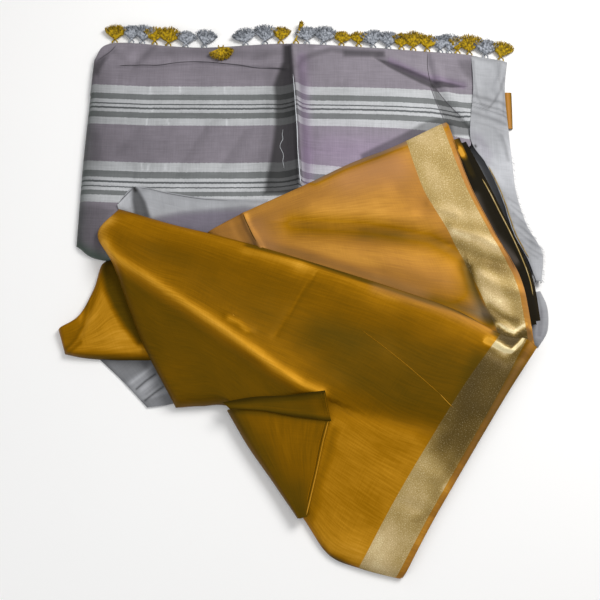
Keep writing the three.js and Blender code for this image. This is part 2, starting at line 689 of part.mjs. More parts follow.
addPiece('pallu_stack', stack, greyCloth);
addPiece('pallu_panel', clothSheet(cloths.pallu), greyCloth);
addPiece('pallu_side_panel', clothSheet(cloths.side), paleGrey);
addPiece('pallu_turnback', clothSheet(cloths.turnback), paleGrey);
addPiece('pallu_corner', corner, greyCloth);
addPiece('pallu_lobe', clothHeap(cloths.lobe).subtract(roundCore), paleGrey);
addPiece('body_strip_behind', clothHeap(cloths.strip), mustardSilk);
addPiece('body_foot', clothHeap(cloths.foot)
  .subtract(roundStack).subtract(roundCore).subtract(overCorner).subtract(aboveFront), mustardSilk);
addPiece('body_core', heapSolid(coreOutline, coreProfile, heapCorners)
  .subtract(roundStack)
  .subtract(roomBelow(cloths.pallu))
  .subtract(roomBelow(cloths.turnback))
  .subtract(overCorner)
  .subtract(aboveUpper)
  .subtract(aboveFront), darkSilk);
addPiece('body_upper_panel', clothSheet(cloths.upper), mustardSilk);
addPiece('upper_border', clothSheet(cloths.upper, 1), zari);
addPiece('upper_selvedge', clothSheet(cloths.upper, 2), mustardSilk);
addPiece('body_front_panel', clothSheet(cloths.front), mustardSilk);
addPiece('front_border', clothSheet(cloths.front, 1), zari);
addPiece('front_selvedge', clothSheet(cloths.front, 2), mustardSilk);
addPiece('front_tuck', clothSheet(cloths.tuck), mustardSilk);
addPiece('corner_fold', clothSheet(cloths.fold), mustardSilk);
addPiece('gap_leaf_high', clothSheet(cloths.highLeaf).subtract(roundCore), mustardSilk);
addPiece('gap_leaf_low', clothSheet(cloths.lowLeaf).subtract(roundCore), darkSilk);
tassels.forEach(({ dye }, index) => {
  const name = `tassel_${String(index + 1).padStart(2, '0')}`;
  addPiece(name, tasselSolid(index), dye === 'mustard' ? mustardThread : greyThread);
});

// The origin is on the surface, under the middle of the folded cloth
const middle = new THREE.Box3().setFromObject(group).getCenter(new THREE.Vector3());
group.position.set(-middle.x, -middle.y, 0);

export default group;
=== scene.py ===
import math

import bpy
import numpy as np
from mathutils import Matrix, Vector
from mathutils.bvhtree import BVHTree


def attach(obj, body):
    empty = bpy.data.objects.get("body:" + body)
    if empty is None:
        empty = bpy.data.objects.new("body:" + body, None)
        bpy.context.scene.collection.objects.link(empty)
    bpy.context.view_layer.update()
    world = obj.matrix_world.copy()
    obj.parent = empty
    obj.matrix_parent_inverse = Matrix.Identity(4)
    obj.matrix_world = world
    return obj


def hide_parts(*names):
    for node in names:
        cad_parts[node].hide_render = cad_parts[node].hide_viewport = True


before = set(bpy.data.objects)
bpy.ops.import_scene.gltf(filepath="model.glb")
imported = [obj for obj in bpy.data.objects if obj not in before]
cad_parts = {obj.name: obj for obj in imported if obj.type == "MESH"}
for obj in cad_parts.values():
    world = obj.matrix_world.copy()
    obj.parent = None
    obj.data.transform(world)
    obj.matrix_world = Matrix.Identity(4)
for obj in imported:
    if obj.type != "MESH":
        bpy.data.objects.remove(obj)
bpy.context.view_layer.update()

drawing = {
    "shift": (-5.19, -27.53),  # from the drawing's centre to the frame's
    "unit": 0.001,  # metres in one of the drawing's millimetres
    "clothWall": 0.8,
    "floorGap": 0.15,
    "lowEdge": 1.1,  # where the edges of cloth on the floor come down to
    "oneSide": 0.98,  # half a shell's area counts its rims too, and this takes them off
    "palluHeight": 11.6,
    "layerStep": 1.55,
    # the body's heap: its foot, its rise, where it is highest and how far it slopes each way
    "heapLow": 8, "heapRise": 15, "heapCrestY": -10, "spreadBack": 320, "spreadFront": 200,
    # the underside of the body's cloth on the floor, what the foot adds, and on the pallu
    "floorEdge": 2.0, "overFoot": 3.2, "overPallu": 14.95,
}


def linear(red, green, blue):  # a colour as the eye reads it, 0 to 255, to the shader's own
    shares = (red / 255, green / 255, blue / 255)
    return tuple(c / 12.92 if c < 0.0392 else ((c + 0.055) / 1.055) ** 2.4 for c in shares) + (1,)


def smoothStep(low, high, value):
    t = np.clip((value - low) / (high - low), 0, 1)
    return t * t * (3 - 2 * t)


def curveThrough(points, places):  # Catmull-Rom through points (n, ...), at places counted in points
    points = np.asarray(points, float)
    i = np.clip(np.floor(places).astype(int), 0, len(points) - 2)
    t = (places - i).reshape((-1,) + (1,) * (points.ndim - 1))
    padded = np.concatenate([[2 * points[0] - points[1]], points, [2 * points[-1] - points[-2]]])
    a, b, c, d = padded[i], padded[i + 1], padded[i + 2], padded[i + 3]
    return b + 0.5 * ((c - a) * t + (2 * a - 5 * b + 4 * c - d) * t ** 2 + (3 * b - a - 3 * c + d) * t ** 3)


def fromSegment(x, y, start, end):  # distance to a straight stretch, and a number above 0 on its left
    (ax, ay), (bx, by) = start, end
    dx, dy = bx - ax, by - ay
    t = np.clip(((x - ax) * dx + (y - ay) * dy) / (dx * dx + dy * dy), 0, 1)
    return np.hypot(x - ax - t * dx, y - ay - t * dy), dx * (y - ay) - dy * (x - ax)


def strokeSum(strokes, x, y):  # soft strokes along paths: the rise (or tone) falls off over the width
    total = np.zeros_like(x)
    for width, rise, *path in strokes:
        left, right = width if isinstance(width, tuple) else (width, width)
        nearest = np.full(x.shape, np.inf)
        reach = np.full(x.shape, float(left))
        for start, end in zip(path, path[1:]):
            away, side = fromSegment(x, y, start, end)
            reach = np.where(away < nearest, np.where(side > 0, left, right), reach)
            nearest = np.minimum(away, nearest)
        total += rise * np.exp(-(nearest / reach) ** 2)
    return total


def patchSum(patches, x, y):  # soft-edged areas: the inside of each outline gets its rise
    total = np.zeros_like(x)
    for soft, rise, *outline in patches:
        nearest = np.full(x.shape, np.inf)
        inside = np.zeros(x.shape, bool)
        for start, end in zip(outline, outline[1:] + outline[:1]):
            nearest = np.minimum(nearest, fromSegment(x, y, start, end)[0])
            (ax, ay), (bx, by) = start, end
            inside ^= ((ay > y) != (by > y)) & (x < ax + (y - ay) * (bx - ax) / ((by - ay) or 1e-9))
        total += rise * smoothStep(-soft, soft, np.where(inside, nearest, -nearest))
    return total


def valueOf(given, x, *more):  # a table's entry: one number, or a function of the place
    return given(x, *more) if callable(given) else np.full_like(x, given)


def toneOf(cloth, x, y):  # painted shade: every stroke and area lightens or darkens what is under it
    tone = valueOf(cloth["shade"], x, y)
    for stroke in cloth["shades"]:
        tone = tone * (1 + strokeSum([stroke], x, y))
    for patch in cloth.get("patches", ()):
        tone = tone * (1 + patchSum([patch], x, y))
    return np.clip(tone, 0.01, 2.4)  # never quite black, and no brighter than the ramps reach


def softNoise(x, y, size, seed):  # smooth values from -1 to 1, one lump about every size millimetres
    count = 97  # of random values each way, before they come round again
    lattice = np.random.default_rng(seed).uniform(-1, 1, (count, count))
    px, py = x / size + 50, y / size + 50
    ix, iy = np.floor(px).astype(int), np.floor(py).astype(int)
    fx, fy = smoothStep(0, 1, px - ix), smoothStep(0, 1, py - iy)

    def corner(i, j):
        return lattice[(ix + i) % count, (iy + j) % count]

    near = corner(0, 0) * (1 - fx) + corner(1, 0) * fx
    far = corner(0, 1) * (1 - fx) + corner(1, 1) * fx
    return near * (1 - fy) + far * fy


def rollShare(distance, run):  # 0 on a rolled edge, 1 past the roll
    if not run:
        return np.ones_like(distance)
    return np.sqrt(1 - (1 - np.clip(distance / run, 0, 1)) ** 2)


# Grid lines from low to high, closer over the rolled edges, with one on every stop
def rolledLines(low, high, step, runLow, runHigh, stops=()):
    closeUp = (1 - np.cos(np.linspace(0, math.pi / 2, 7)))[:-1]
    edges = [low + runLow, *stops, high - runHigh]
    middle = []
    for a, b in zip(edges, edges[1:]):
        middle.append(np.linspace(a, b, max(2, int(round((b - a) / step)) + 1))[:-1])
    before = low + closeUp * runLow if runLow else []
    after = [high - runHigh, *(high - closeUp * runHigh)[::-1]] if runHigh else [high]
    return np.concatenate([before, *middle, after])


def heapHeight(y):
    spread = np.where(y > drawing["heapCrestY"], drawing["spreadBack"], drawing["spreadFront"])
    return drawing["heapLow"] + drawing["heapRise"] * np.exp(-((y - drawing["heapCrestY"]) / spread) ** 2)


def climb(y):  # 0 on the surface, 1 on the pallu
    return smoothStep(-150, -40, y)


def frontRest(y):  # what the front stretch lies on: the floor, the foot, then the pallu
    onFoot = drawing["overFoot"] * smoothStep(-200, -150, y)
    toPallu = drawing["overPallu"] - drawing["floorEdge"] - drawing["overFoot"]
    return drawing["floorEdge"] + onFoot + toPallu * climb(y)


# A stretch of cloth: its grid of points with their heights, lengths along the threads and painted shade
def layCloth(cloth):
    rows = np.array(cloth["rows"], float)
    rolls = cloth.get("rolls", {})
    final = len(rows) - 1
    middle = curveThrough(rows.transpose(1, 0, 2), np.array([(rows.shape[1] - 1) / 2]))[0]
    width = np.hypot(*np.diff(middle, axis=0).T).sum()
    length = np.hypot(*np.diff(rows[final // 2], axis=0).T).sum()
    uLines = rolledLines(0, final, cloth["step"] * final / width, rolls.get("first", 0), rolls.get("last", 0),
                         cloth.get("cuts", ()))
    vLines = rolledLines(0, 1, cloth["step"] / length, rolls.get("start", 0), rolls.get("end", 0))
    threads = curveThrough(rows.transpose(1, 0, 2), vLines * (rows.shape[1] - 1))
    plan = curveThrough(threads.transpose(1, 0, 2), uLines)
    x, y = plan[..., 0], plan[..., 1]
    u, v = np.meshgrid(uLines, vLines, indexing="ij")
    share = (rollShare(v, rolls.get("start")) * rollShare(1 - v, rolls.get("end"))
             * rollShare(u, rolls.get("first")) * rollShare(final - u, rolls.get("last")))
    low = valueOf(cloth["rest"], x, y, v)
    z = low + (valueOf(cloth["top"], x, y) + strokeSum(cloth.get("folds", ()), x, y) - low) * share
    for size, height, seed in cloth.get("lumps", ()):
        z = z + height * softNoise(x, y, size, seed) * share
    alongU = np.concatenate([[0], np.cumsum(np.hypot(*np.diff(plan, axis=0).transpose(2, 0, 1)).mean(1))])
    alongV = np.concatenate([[0], np.cumsum(np.hypot(*np.diff(plan, axis=1).transpose(2, 0, 1)).mean(0))])
    weft, warp = np.meshgrid(alongU, alongV, indexing="ij")
    if "threads" in cloth:
        weft, warp = cloth["threads"](x, y)
    tint = cloth.get("tint", 0) + strokeSum(cloth.get("tints", ()), x, y)
    tint = np.clip(tint + patchSum(cloth.get("dyes", ()), x, y), -1, 1)
    return {"x": x, "y": y, "z": z, "weft": weft, "warp": warp, "lines": uLines,
            "shade": toneOf(cloth, x, y), "tint": tint}


def cutGrid(grid, low, high):  # the part of a grid between two of its lines
    keep = (grid["lines"] >= low - 1e-9) & (grid["lines"] <= high + 1e-9)
    return {key: value[keep] for key, value in grid.items()}


def place(points):  # drawing millimetres to the frame's metres
    return (points + np.array([*drawing["shift"], 0])) * drawing["unit"]


def addObject(name, data):
    made = bpy.data.objects.new(name, data)
    bpy.context.scene.collection.objects.link(made)
    return made


def meshObject(name, points, faces, material, uv=None, attributes=None, sharp=None):
    mesh = bpy.data.meshes.new(name)
    mesh.from_pydata(place(points).tolist(), [], faces)
    mesh.polygons.foreach_set("use_smooth", [True] * len(mesh.polygons))
    if uv is not None:
        corners = np.zeros(len(mesh.loops), int)
        mesh.loops.foreach_get("vertex_index", corners)
        mesh.uv_layers.new(name="threads").data.foreach_set("uv", (uv[corners] * drawing["unit"]).ravel())
    for key, values in (attributes or {}).items():
        mesh.attributes.new(key, "FLOAT", "POINT").data.foreach_set("value", values)
    if sharp is not None:  # edges between two points of the same rim
        ends = np.zeros(2 * len(mesh.edges), int)
        mesh.edges.foreach_get("vertices", ends)
        both = sharp[ends].reshape(-1, 2)
        onRim = (both[:, 0] > 0) & (both[:, 0] == both[:, 1])
        mesh.attributes.new("sharp_edge", "BOOLEAN", "EDGE").data.foreach_set("value", onRim)
    mesh.materials.append(material)
    mesh.update()
    return addObject(name, mesh)


def plainShade(points, shade):  # the same shade all over, or one for each point, and no tint
    shades = np.full(len(points), shade, float)
    return {"shade": shades, "tint": shades * 0}


def makeShell(name, grid, material):  # a closed thin shell under a grid of points
    top = np.stack([grid["x"], grid["y"], grid["z"]], -1)
    normal = np.cross(np.gradient(top, axis=0), np.gradient(top, axis=1))
    normal /= np.linalg.norm(normal, axis=-1, keepdims=True) + 1e-12
    upright = normal[..., 2].mean() > 0
    bottom = top - normal * drawing["clothWall"] * (1 if upright else -1)
    bottom[..., 2] = np.maximum(bottom[..., 2], drawing["floorGap"])
    n, m = top.shape[:2]
    under = n * m
    faces = []
    for i in range(n - 1):
        for j in range(m - 1):
            a, b, c, d = i * m + j, (i + 1) * m + j, (i + 1) * m + j + 1, i * m + j + 1
            faces.append((a, b, c, d))
            faces.append((under + a, under + d, under + c, under + b))
    for i in range(n - 1):
        a, b = i * m, (i + 1) * m
        faces.append((a, under + a, under + b, b))
        faces.append((a + m - 1, b + m - 1, under + b + m - 1, under + a + m - 1))
    for j in range(m - 1):
        faces.append((j, j + 1, under + j + 1, under + j))
        a = (n - 1) * m + j
        faces.append((a, under + a, under + a + 1, a + 1))
    if not upright:
        faces = [face[::-1] for face in faces]
    rim = np.zeros((n, m), int)
    rim[0], rim[-1], rim[:, 0], rim[:, -1] = 1, 1, 1, 1

    def both(key):  # the same values on the top and on the underside
        return np.tile(grid[key].ravel(), 2)

    points = np.concatenate([top.reshape(-1, 3), bottom.reshape(-1, 3)])
    uv = np.stack([both("weft"), both("warp")], -1)
    return meshObject(name, points, faces, material, uv, {"shade": both("shade"), "tint": both("tint")},
                      np.concatenate([rim.ravel(), 2 * rim.ravel()]))


# Shader maths is written with this wrapper: it holds a socket and adds Math nodes for expressions
class Wire:
    def __init__(self, tree, socket):
        self.tree, self.socket = tree, socket

    def maths(self, operation, *values):
        return addNode(self.tree, "ShaderNodeMath", {"operation": operation}, dict(enumerate(values)))

    def __add__(self, other):
        return self.maths("ADD", self, other)

    def __radd__(self, other):
        return self.maths("ADD", other, self)

    def __sub__(self, other):
        return self.maths("SUBTRACT", self, other)

    def __rsub__(self, other):
        return self.maths("SUBTRACT", other, self)

    def __mul__(self, other):
        return self.maths("MULTIPLY", self, other)

    def __rmul__(self, other):
        return self.maths("MULTIPLY", other, self)


def addNode(tree, kind, settings, inputs, output=0):  # settings first, then values or links of its sockets
    node = tree.nodes.new(kind)
    for key, value in settings.items():
        if key == "stops":
            setStops(node.color_ramp, value)
        elif key == "banded":
            node.color_ramp.interpolation = "CONSTANT"
        else:
            setattr(node, key, value)
    for key, value in inputs.items():
        if isinstance(value, Wire):
            tree.links.new(value.socket, node.inputs[key])
        else:
            node.inputs[key].default_value = value
    return Wire(tree, node.outputs[output])


def setStops(ramp, stops):  # each stop: its position and a colour as the eye reads it
    while len(ramp.elements) < len(stops):
        ramp.elements.new(1)
    for element, (position, colour) in zip(ramp.elements, stops):
        element.position = position
        element.color = linear(*colour)


def threadNoise(tree, coordinates, scale, detail=2, roughness=0.5):  # noise stretched along the threads
    stretched = addNode(tree, "ShaderNodeMapping", {}, {"Vector": coordinates, "Scale": (*scale, 1)})
    return addNode(tree, "ShaderNodeTexNoise", {"noise_dimensions": "2D"},
                   {"Vector": stretched, "Scale": 1.0, "Detail": detail, "Roughness": roughness}, "Fac")


def spotNoise(tree, scale, detail):  # noise in the frame's own metres
    spot = addNode(tree, "ShaderNodeTexCoord", {}, {}, "Object")
    return addNode(tree, "ShaderNodeTexNoise", {}, {"Vector": spot, "Scale": scale, "Detail": detail}, "Fac")


def mixColours(tree, factor, first, second):
    return addNode(tree, "ShaderNodeMix", {"data_type": "RGBA"}, {0: factor, 6: first, 7: second}, 2)


def brighten(tree, colour, tone):
    return addNode(tree, "ShaderNodeVectorMath", {"operation": "SCALE"}, {0: colour, "Scale": tone})


def threadsOf(tree):
    return addNode(tree, "ShaderNodeUVMap", {"uv_map": "threads"}, {})


def attributeOf(tree, name):
    return addNode(tree, "ShaderNodeAttribute", {"attribute_name": name}, {}, "Fac")


def newFinish(name, build, fixed):  # a material: build(tree) gives its colour, roughness and height
    material = bpy.data.materials.new(name)
    material.use_nodes = True
    tree = material.node_tree
    tree.nodes.clear()
    shader = tree.nodes.new("ShaderNodeBsdfPrincipled")
    output = tree.nodes.new("ShaderNodeOutputMaterial")
    tree.links.new(shader.outputs[0], output.inputs["Surface"])
    for key, value in fixed.items():
        shader.inputs[key].default_value = value
    for key, value in build(tree).items():
        if key == "height":
            (strength, distance), height = value
            value = addNode(tree, "ShaderNodeBump", {},
                            {"Strength": strength, "Distance": distance, "Height": height})
            key = "Normal"
        tree.links.new(value.socket, shader.inputs[key])
    return material


silk = {
    # from the deepest shadow to the sheen
    "tones": [(0, (8, 7, 3)), (0.15, (42, 32, 2)), (0.3, (82, 61, 4)), (0.5, (120, 81, 1)),
              (0.68, (152, 103, 4)), (0.85, (184, 130, 26)), (1, (208, 152, 48))],
    "blush": (178, 128, 88), "grey": (122, 112, 106),  # blush where the tint is above 0, grey where it is below; the grey is painted shade in the upper panel's trough and along the front's edge, and a painted reflection in the gap
    "slubAcross": (26, 430), "slubAlong": (620, 24), "clouds": (16, 22),
    "slubTone": 0.42, "cloudTone": 0.3, "roughness": 0.48, "bump": (0.2, 0.0004),
}


def silkColour(tree):
    threads = threadsOf(tree)
    across = threadNoise(tree, threads, silk["slubAcross"], 3)
    along = threadNoise(tree, threads, silk["slubAlong"], 2)
    cloudy = threadNoise(tree, threads, silk["clouds"], 3)
    weave = across * 0.76 + along * 0.24 - 0.5
    tone = attributeOf(tree, "shade") * (1 + weave * silk["slubTone"] + (cloudy - 0.5) * silk["cloudTone"])
    colour = addNode(tree, "ShaderNodeValToRGB", {"stops": silk["tones"]}, {0: tone})
    tint = attributeOf(tree, "tint")
    blushed = mixColours(tree, tint, colour, linear(*silk["blush"]))
    greyed = mixColours(tree, 0 - tint, blushed, linear(*silk["grey"]))
    return {"Base Color": greyed, "Roughness": silk["roughness"] + weave * 0.2,
            "height": (silk["bump"], across + along * 0.5)}


mustardSilk = newFinish("mustardSilk", silkColour, {"Metallic": 0.18, "Specular IOR Level": 0.2,
                                                    "Specular Tint": linear(255, 205, 110)})
gapShadowSilk = newFinish("gapShadowSilk", silkColour, {"Specular IOR Level": 0.04})  # a shaded copy of the silk, its reflection turned down: painted shadow for the leaves deep in the open gap

zari = {
    # picked by the painted shade: from the deepest shadow to the sheen
    "tones": [(0, (22, 17, 4)), (0.3, (80, 62, 14)), (0.5, (122, 99, 46)), (0.7, (162, 138, 82)),
              (0.88, (198, 174, 126)), (1, (226, 210, 162))],
    "glint": (246, 232, 190), "glintFrom": 0.62, "glintTo": 0.74, "glintShare": 0.45,
    "ribs": (150, 1500), "grain": (760, 760), "clouds": (30, 24),
    "grainTone": 0.45, "cloudTone": 0.4, "roughness": 0.58, "bump": (0.5, 0.0005),
}


def zariColour(tree):
    threads = threadsOf(tree)
    ribs = threadNoise(tree, threads, zari["ribs"], 2)
    grain = threadNoise(tree, threads, zari["grain"], 2)
    cloudy = threadNoise(tree, threads, zari["clouds"], 3)
    shade = attributeOf(tree, "shade")
    mixed = ribs * 0.3 + grain * 0.7
    tone = shade * (1 + (mixed - 0.5) * zari["grainTone"] + (cloudy - 0.5) * zari["cloudTone"])
    body = addNode(tree, "ShaderNodeValToRGB", {"stops": zari["tones"]}, {0: tone})
    sparkle = addNode(tree, "ShaderNodeMapRange", {},
                      {0: grain, 1: zari["glintFrom"], 2: zari["glintTo"], 3: 0.0, 4: zari["glintShare"]})
    colour = mixColours(tree, sparkle * shade, body, linear(*zari["glint"]))
    return {"Base Color": colour, "Roughness": zari["roughness"] - mixed * 0.15,
            "height": (zari["bump"], mixed)}


zariBorder = newFinish("zariBorder", zariColour, {"Metallic": 0.2, "Specular IOR Level": 0.2})

handloom = {
    "slubAcross": (22, 460), "slubAlong": (560, 30), "clouds": (26, 22),
    "roughness": 0.66, "bump": (0.3, 0.0004), "sheen": {"Sheen Weight": 0.08, "Specular IOR Level": 0.25},
}


# The pallu's weave on any colour: long slubs across, finer ones along, and soft clouds
def handloomCloth(tree, colour, slubTone, cloudTone):
    threads = threadsOf(tree)
    across = threadNoise(tree, threads, handloom["slubAcross"], 3, 0.7)
    along = threadNoise(tree, threads, handloom["slubAlong"], 2)
    cloudy = threadNoise(tree, threads, handloom["clouds"], 4, 0.6)
    weave = across * 0.62 + along * 0.38 - 0.5
    tone = attributeOf(tree, "shade") * (1 + weave * slubTone + (cloudy - 0.5) * cloudTone)
    return {"Base Color": brighten(tree, colour, tone), "Roughness": handloom["roughness"] + weave * 0.2,
            "height": (handloom["bump"], across + along)}


stripes = {
    "ground": (125, 119, 128), "white": (175, 177, 180), "between": (107, 110, 111), "line": (86, 89, 91),
    "purple": (142, 118, 152), "green": (84, 100, 90),  # where the tint is above 0, and below
    "from": 0.09, "to": 0.34,  # where the pattern starts and ends in y, in metres
    "wander": (420, 60), "wanderBy": 0.0016, "slubTone": 0.66, "cloudTone": 0.42,
    # each band's upper edge, from the higher y down, and what it is
    "bands": [(311.3, "white"), (298.3, "between"), (289.7, "white"), (284.3, "line"), (282.3, "white"),
              (277.6, "line"), (275.0, "white"), (269.7, "between"), (261.3, "white"), (251.1, "ground"),
              (193.7, "white"), (180.8, "between"), (170.6, "white"), (165.5, "line"), (163.0, "white"),
              (157.8, "line"), (156.2, "white"), (151.5, "between"), (144.0, "white"), (133.8, "ground")],
}


def stripeStops():  # a ramp runs upward in y, so each band's colour starts at its lower edge
    edges, kinds = zip(*stripes["bands"])
    span = stripes["to"] - stripes["from"]
    places = [0] + [(edge * drawing["unit"] - stripes["from"]) / span for edge in edges[::-1]]
    return list(zip(places, [stripes[kind] for kind in ("ground", *kinds[-2::-1], "ground")]))


def stripedColour(tree):
    threads = threadsOf(tree)
    wander = threadNoise(tree, threads, stripes["wander"], 2)
    depth = addNode(tree, "ShaderNodeSeparateXYZ", {}, {0: threads}, "Y")
    span = stripes["to"] - stripes["from"]
    across = (depth + (wander - 0.5) * stripes["wanderBy"] - stripes["from"]) * (1 / span)
    striped = addNode(tree, "ShaderNodeValToRGB", {"banded": True, "stops": stripeStops()}, {0: across})
    tint = attributeOf(tree, "tint")
    purple = mixColours(tree, tint, striped, linear(*stripes["purple"]))
    green = mixColours(tree, 0 - tint, purple, linear(*stripes["green"]))
    return handloomCloth(tree, green, stripes["slubTone"], stripes["cloudTone"])


stripedCloth = newFinish("stripedCloth", stripedColour, handloom["sheen"])

paleCloth = {"ground": (173, 175, 180), "lilac": (138, 127, 148), "slubTone": 0.42, "cloudTone": 0.5}


def paleColour(tree):
    tint = attributeOf(tree, "tint")
    lilac = mixColours(tree, tint, linear(*paleCloth["ground"]), linear(*paleCloth["lilac"]))
    return handloomCloth(tree, lilac, paleCloth["slubTone"], paleCloth["cloudTone"])


paleGrey = newFinish("paleGrey", paleColour, handloom["sheen"])


looseThread = {
    "mustard": (192, 158, 10), "mustardDark": (104, 84, 4), "grey": (172, 177, 186), "greyDark": (92, 97, 104),
    "spots": 330.0, "darkTo": 0.36, "brightFrom": 0.62, "roughness": 0.75,
}


def threadFinish(name, bright, dark):
    def build(tree):
        noise = spotNoise(tree, looseThread["spots"], 3.0)
        contrast = addNode(tree, "ShaderNodeMapRange", {}, {0: noise, 1: looseThread["darkTo"],
                                                            2: looseThread["brightFrom"], 3: 0.0, 4: 1.0})
        colour = mixColours(tree, contrast, linear(*looseThread[dark]), linear(*looseThread[bright]))
        return {"Base Color": colour, "Roughness": looseThread["roughness"] + noise * 0.15}
    return newFinish(name, build, {"Sheen Weight": 0.1, "Specular IOR Level": 0.2})


mustardThread = threadFinish("mustardThread", "mustard", "mustardDark")
greyThread = threadFinish("greyThread", "grey", "greyDark")
print("materials made")

pieces = {}


def declare(thing, slot, *nodes):
    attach(thing, "root")
    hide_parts(*nodes)


def addSheet(name, cloth, restsOn, *sections):  # each section: its name, rows, finish, slot and node
    grid = layCloth(cloth)
    for title, low, high, finish, slot, node in sections:
        pieces[title] = makeShell(title, cutGrid(grid, low, high), finish)
        declare(pieces[title], slot, node)


def addPlain(name, cloth, restsOn, finish, slot, node):
    addSheet(name, cloth, restsOn, (name, 0, len(cloth["rows"]) - 1, finish, slot, node))


# Each stretch of cloth has a table:
#   flat: its size when it is laid out flat, in metres
#   rows: rows of points across it, from its first edge to its last, and step, the spacing of its grid
#   cuts: the rows where a woven border starts and ends
#   rolls: how much of an edge is rolled: first and last count in rows, start and end in shares of a row
#   top, rest: the height of its surface, and of what its rolled edges come down to
#   folds, shades, tints: strokes, each (width or widths on its left and right, rise, points of its path)
#   patches, dyes: areas of shade and of tint, each (soft width, rise, points of its outline)
#   shade, tint: what those start from
#   lumps: slight unevenness, each (size, height, seed)
#   threads: where the weave is read, if it doesn't follow the rows

fringedEdge = [(-297, 357), (-269, 384), (-144, 376), (-13, 383), (144, 373), (247, 364), (299, 354)]


def stripeLift(x, y):  # the stripes climb to the crease on its left and sink away to the right
    lift = np.interp(x, [-290, -215, -70, -30, -15, -3, 4, 10, 28, 85, 142, 185, 228, 300],
                     [3.5, 0, 0, 1, 3.5, 6, 2, 0.3, -0.5, -1.3, -3.2, -6, -12, -16])
    return lift - 0.09 * np.maximum(x, 0) * (1 - smoothStep(190, 260, y))


def palluRest(x, y, v):
    left = drawing["floorEdge"] + (drawing["palluHeight"] - drawing["floorEdge"]) * smoothStep(-262, -225, x)
    return np.where(y > 300, 5.0, left)  # the fringed end hangs a little over the layers under it


def palluTone(x, y):  # painted light and shade: lighter towards the right, darker at the lower left
    right = 0.1 * smoothStep(0, 100, x) + 0.16 * smoothStep(0, 60, x) * (1 - smoothStep(200, 300, y))
    left = 0.17 * (1 - smoothStep(-240, -120, x)) * (1 - smoothStep(230, 310, y)) * smoothStep(150, 200, y)
    return 1 + right - left + 0.1 * (1 - smoothStep(170, 200, y))


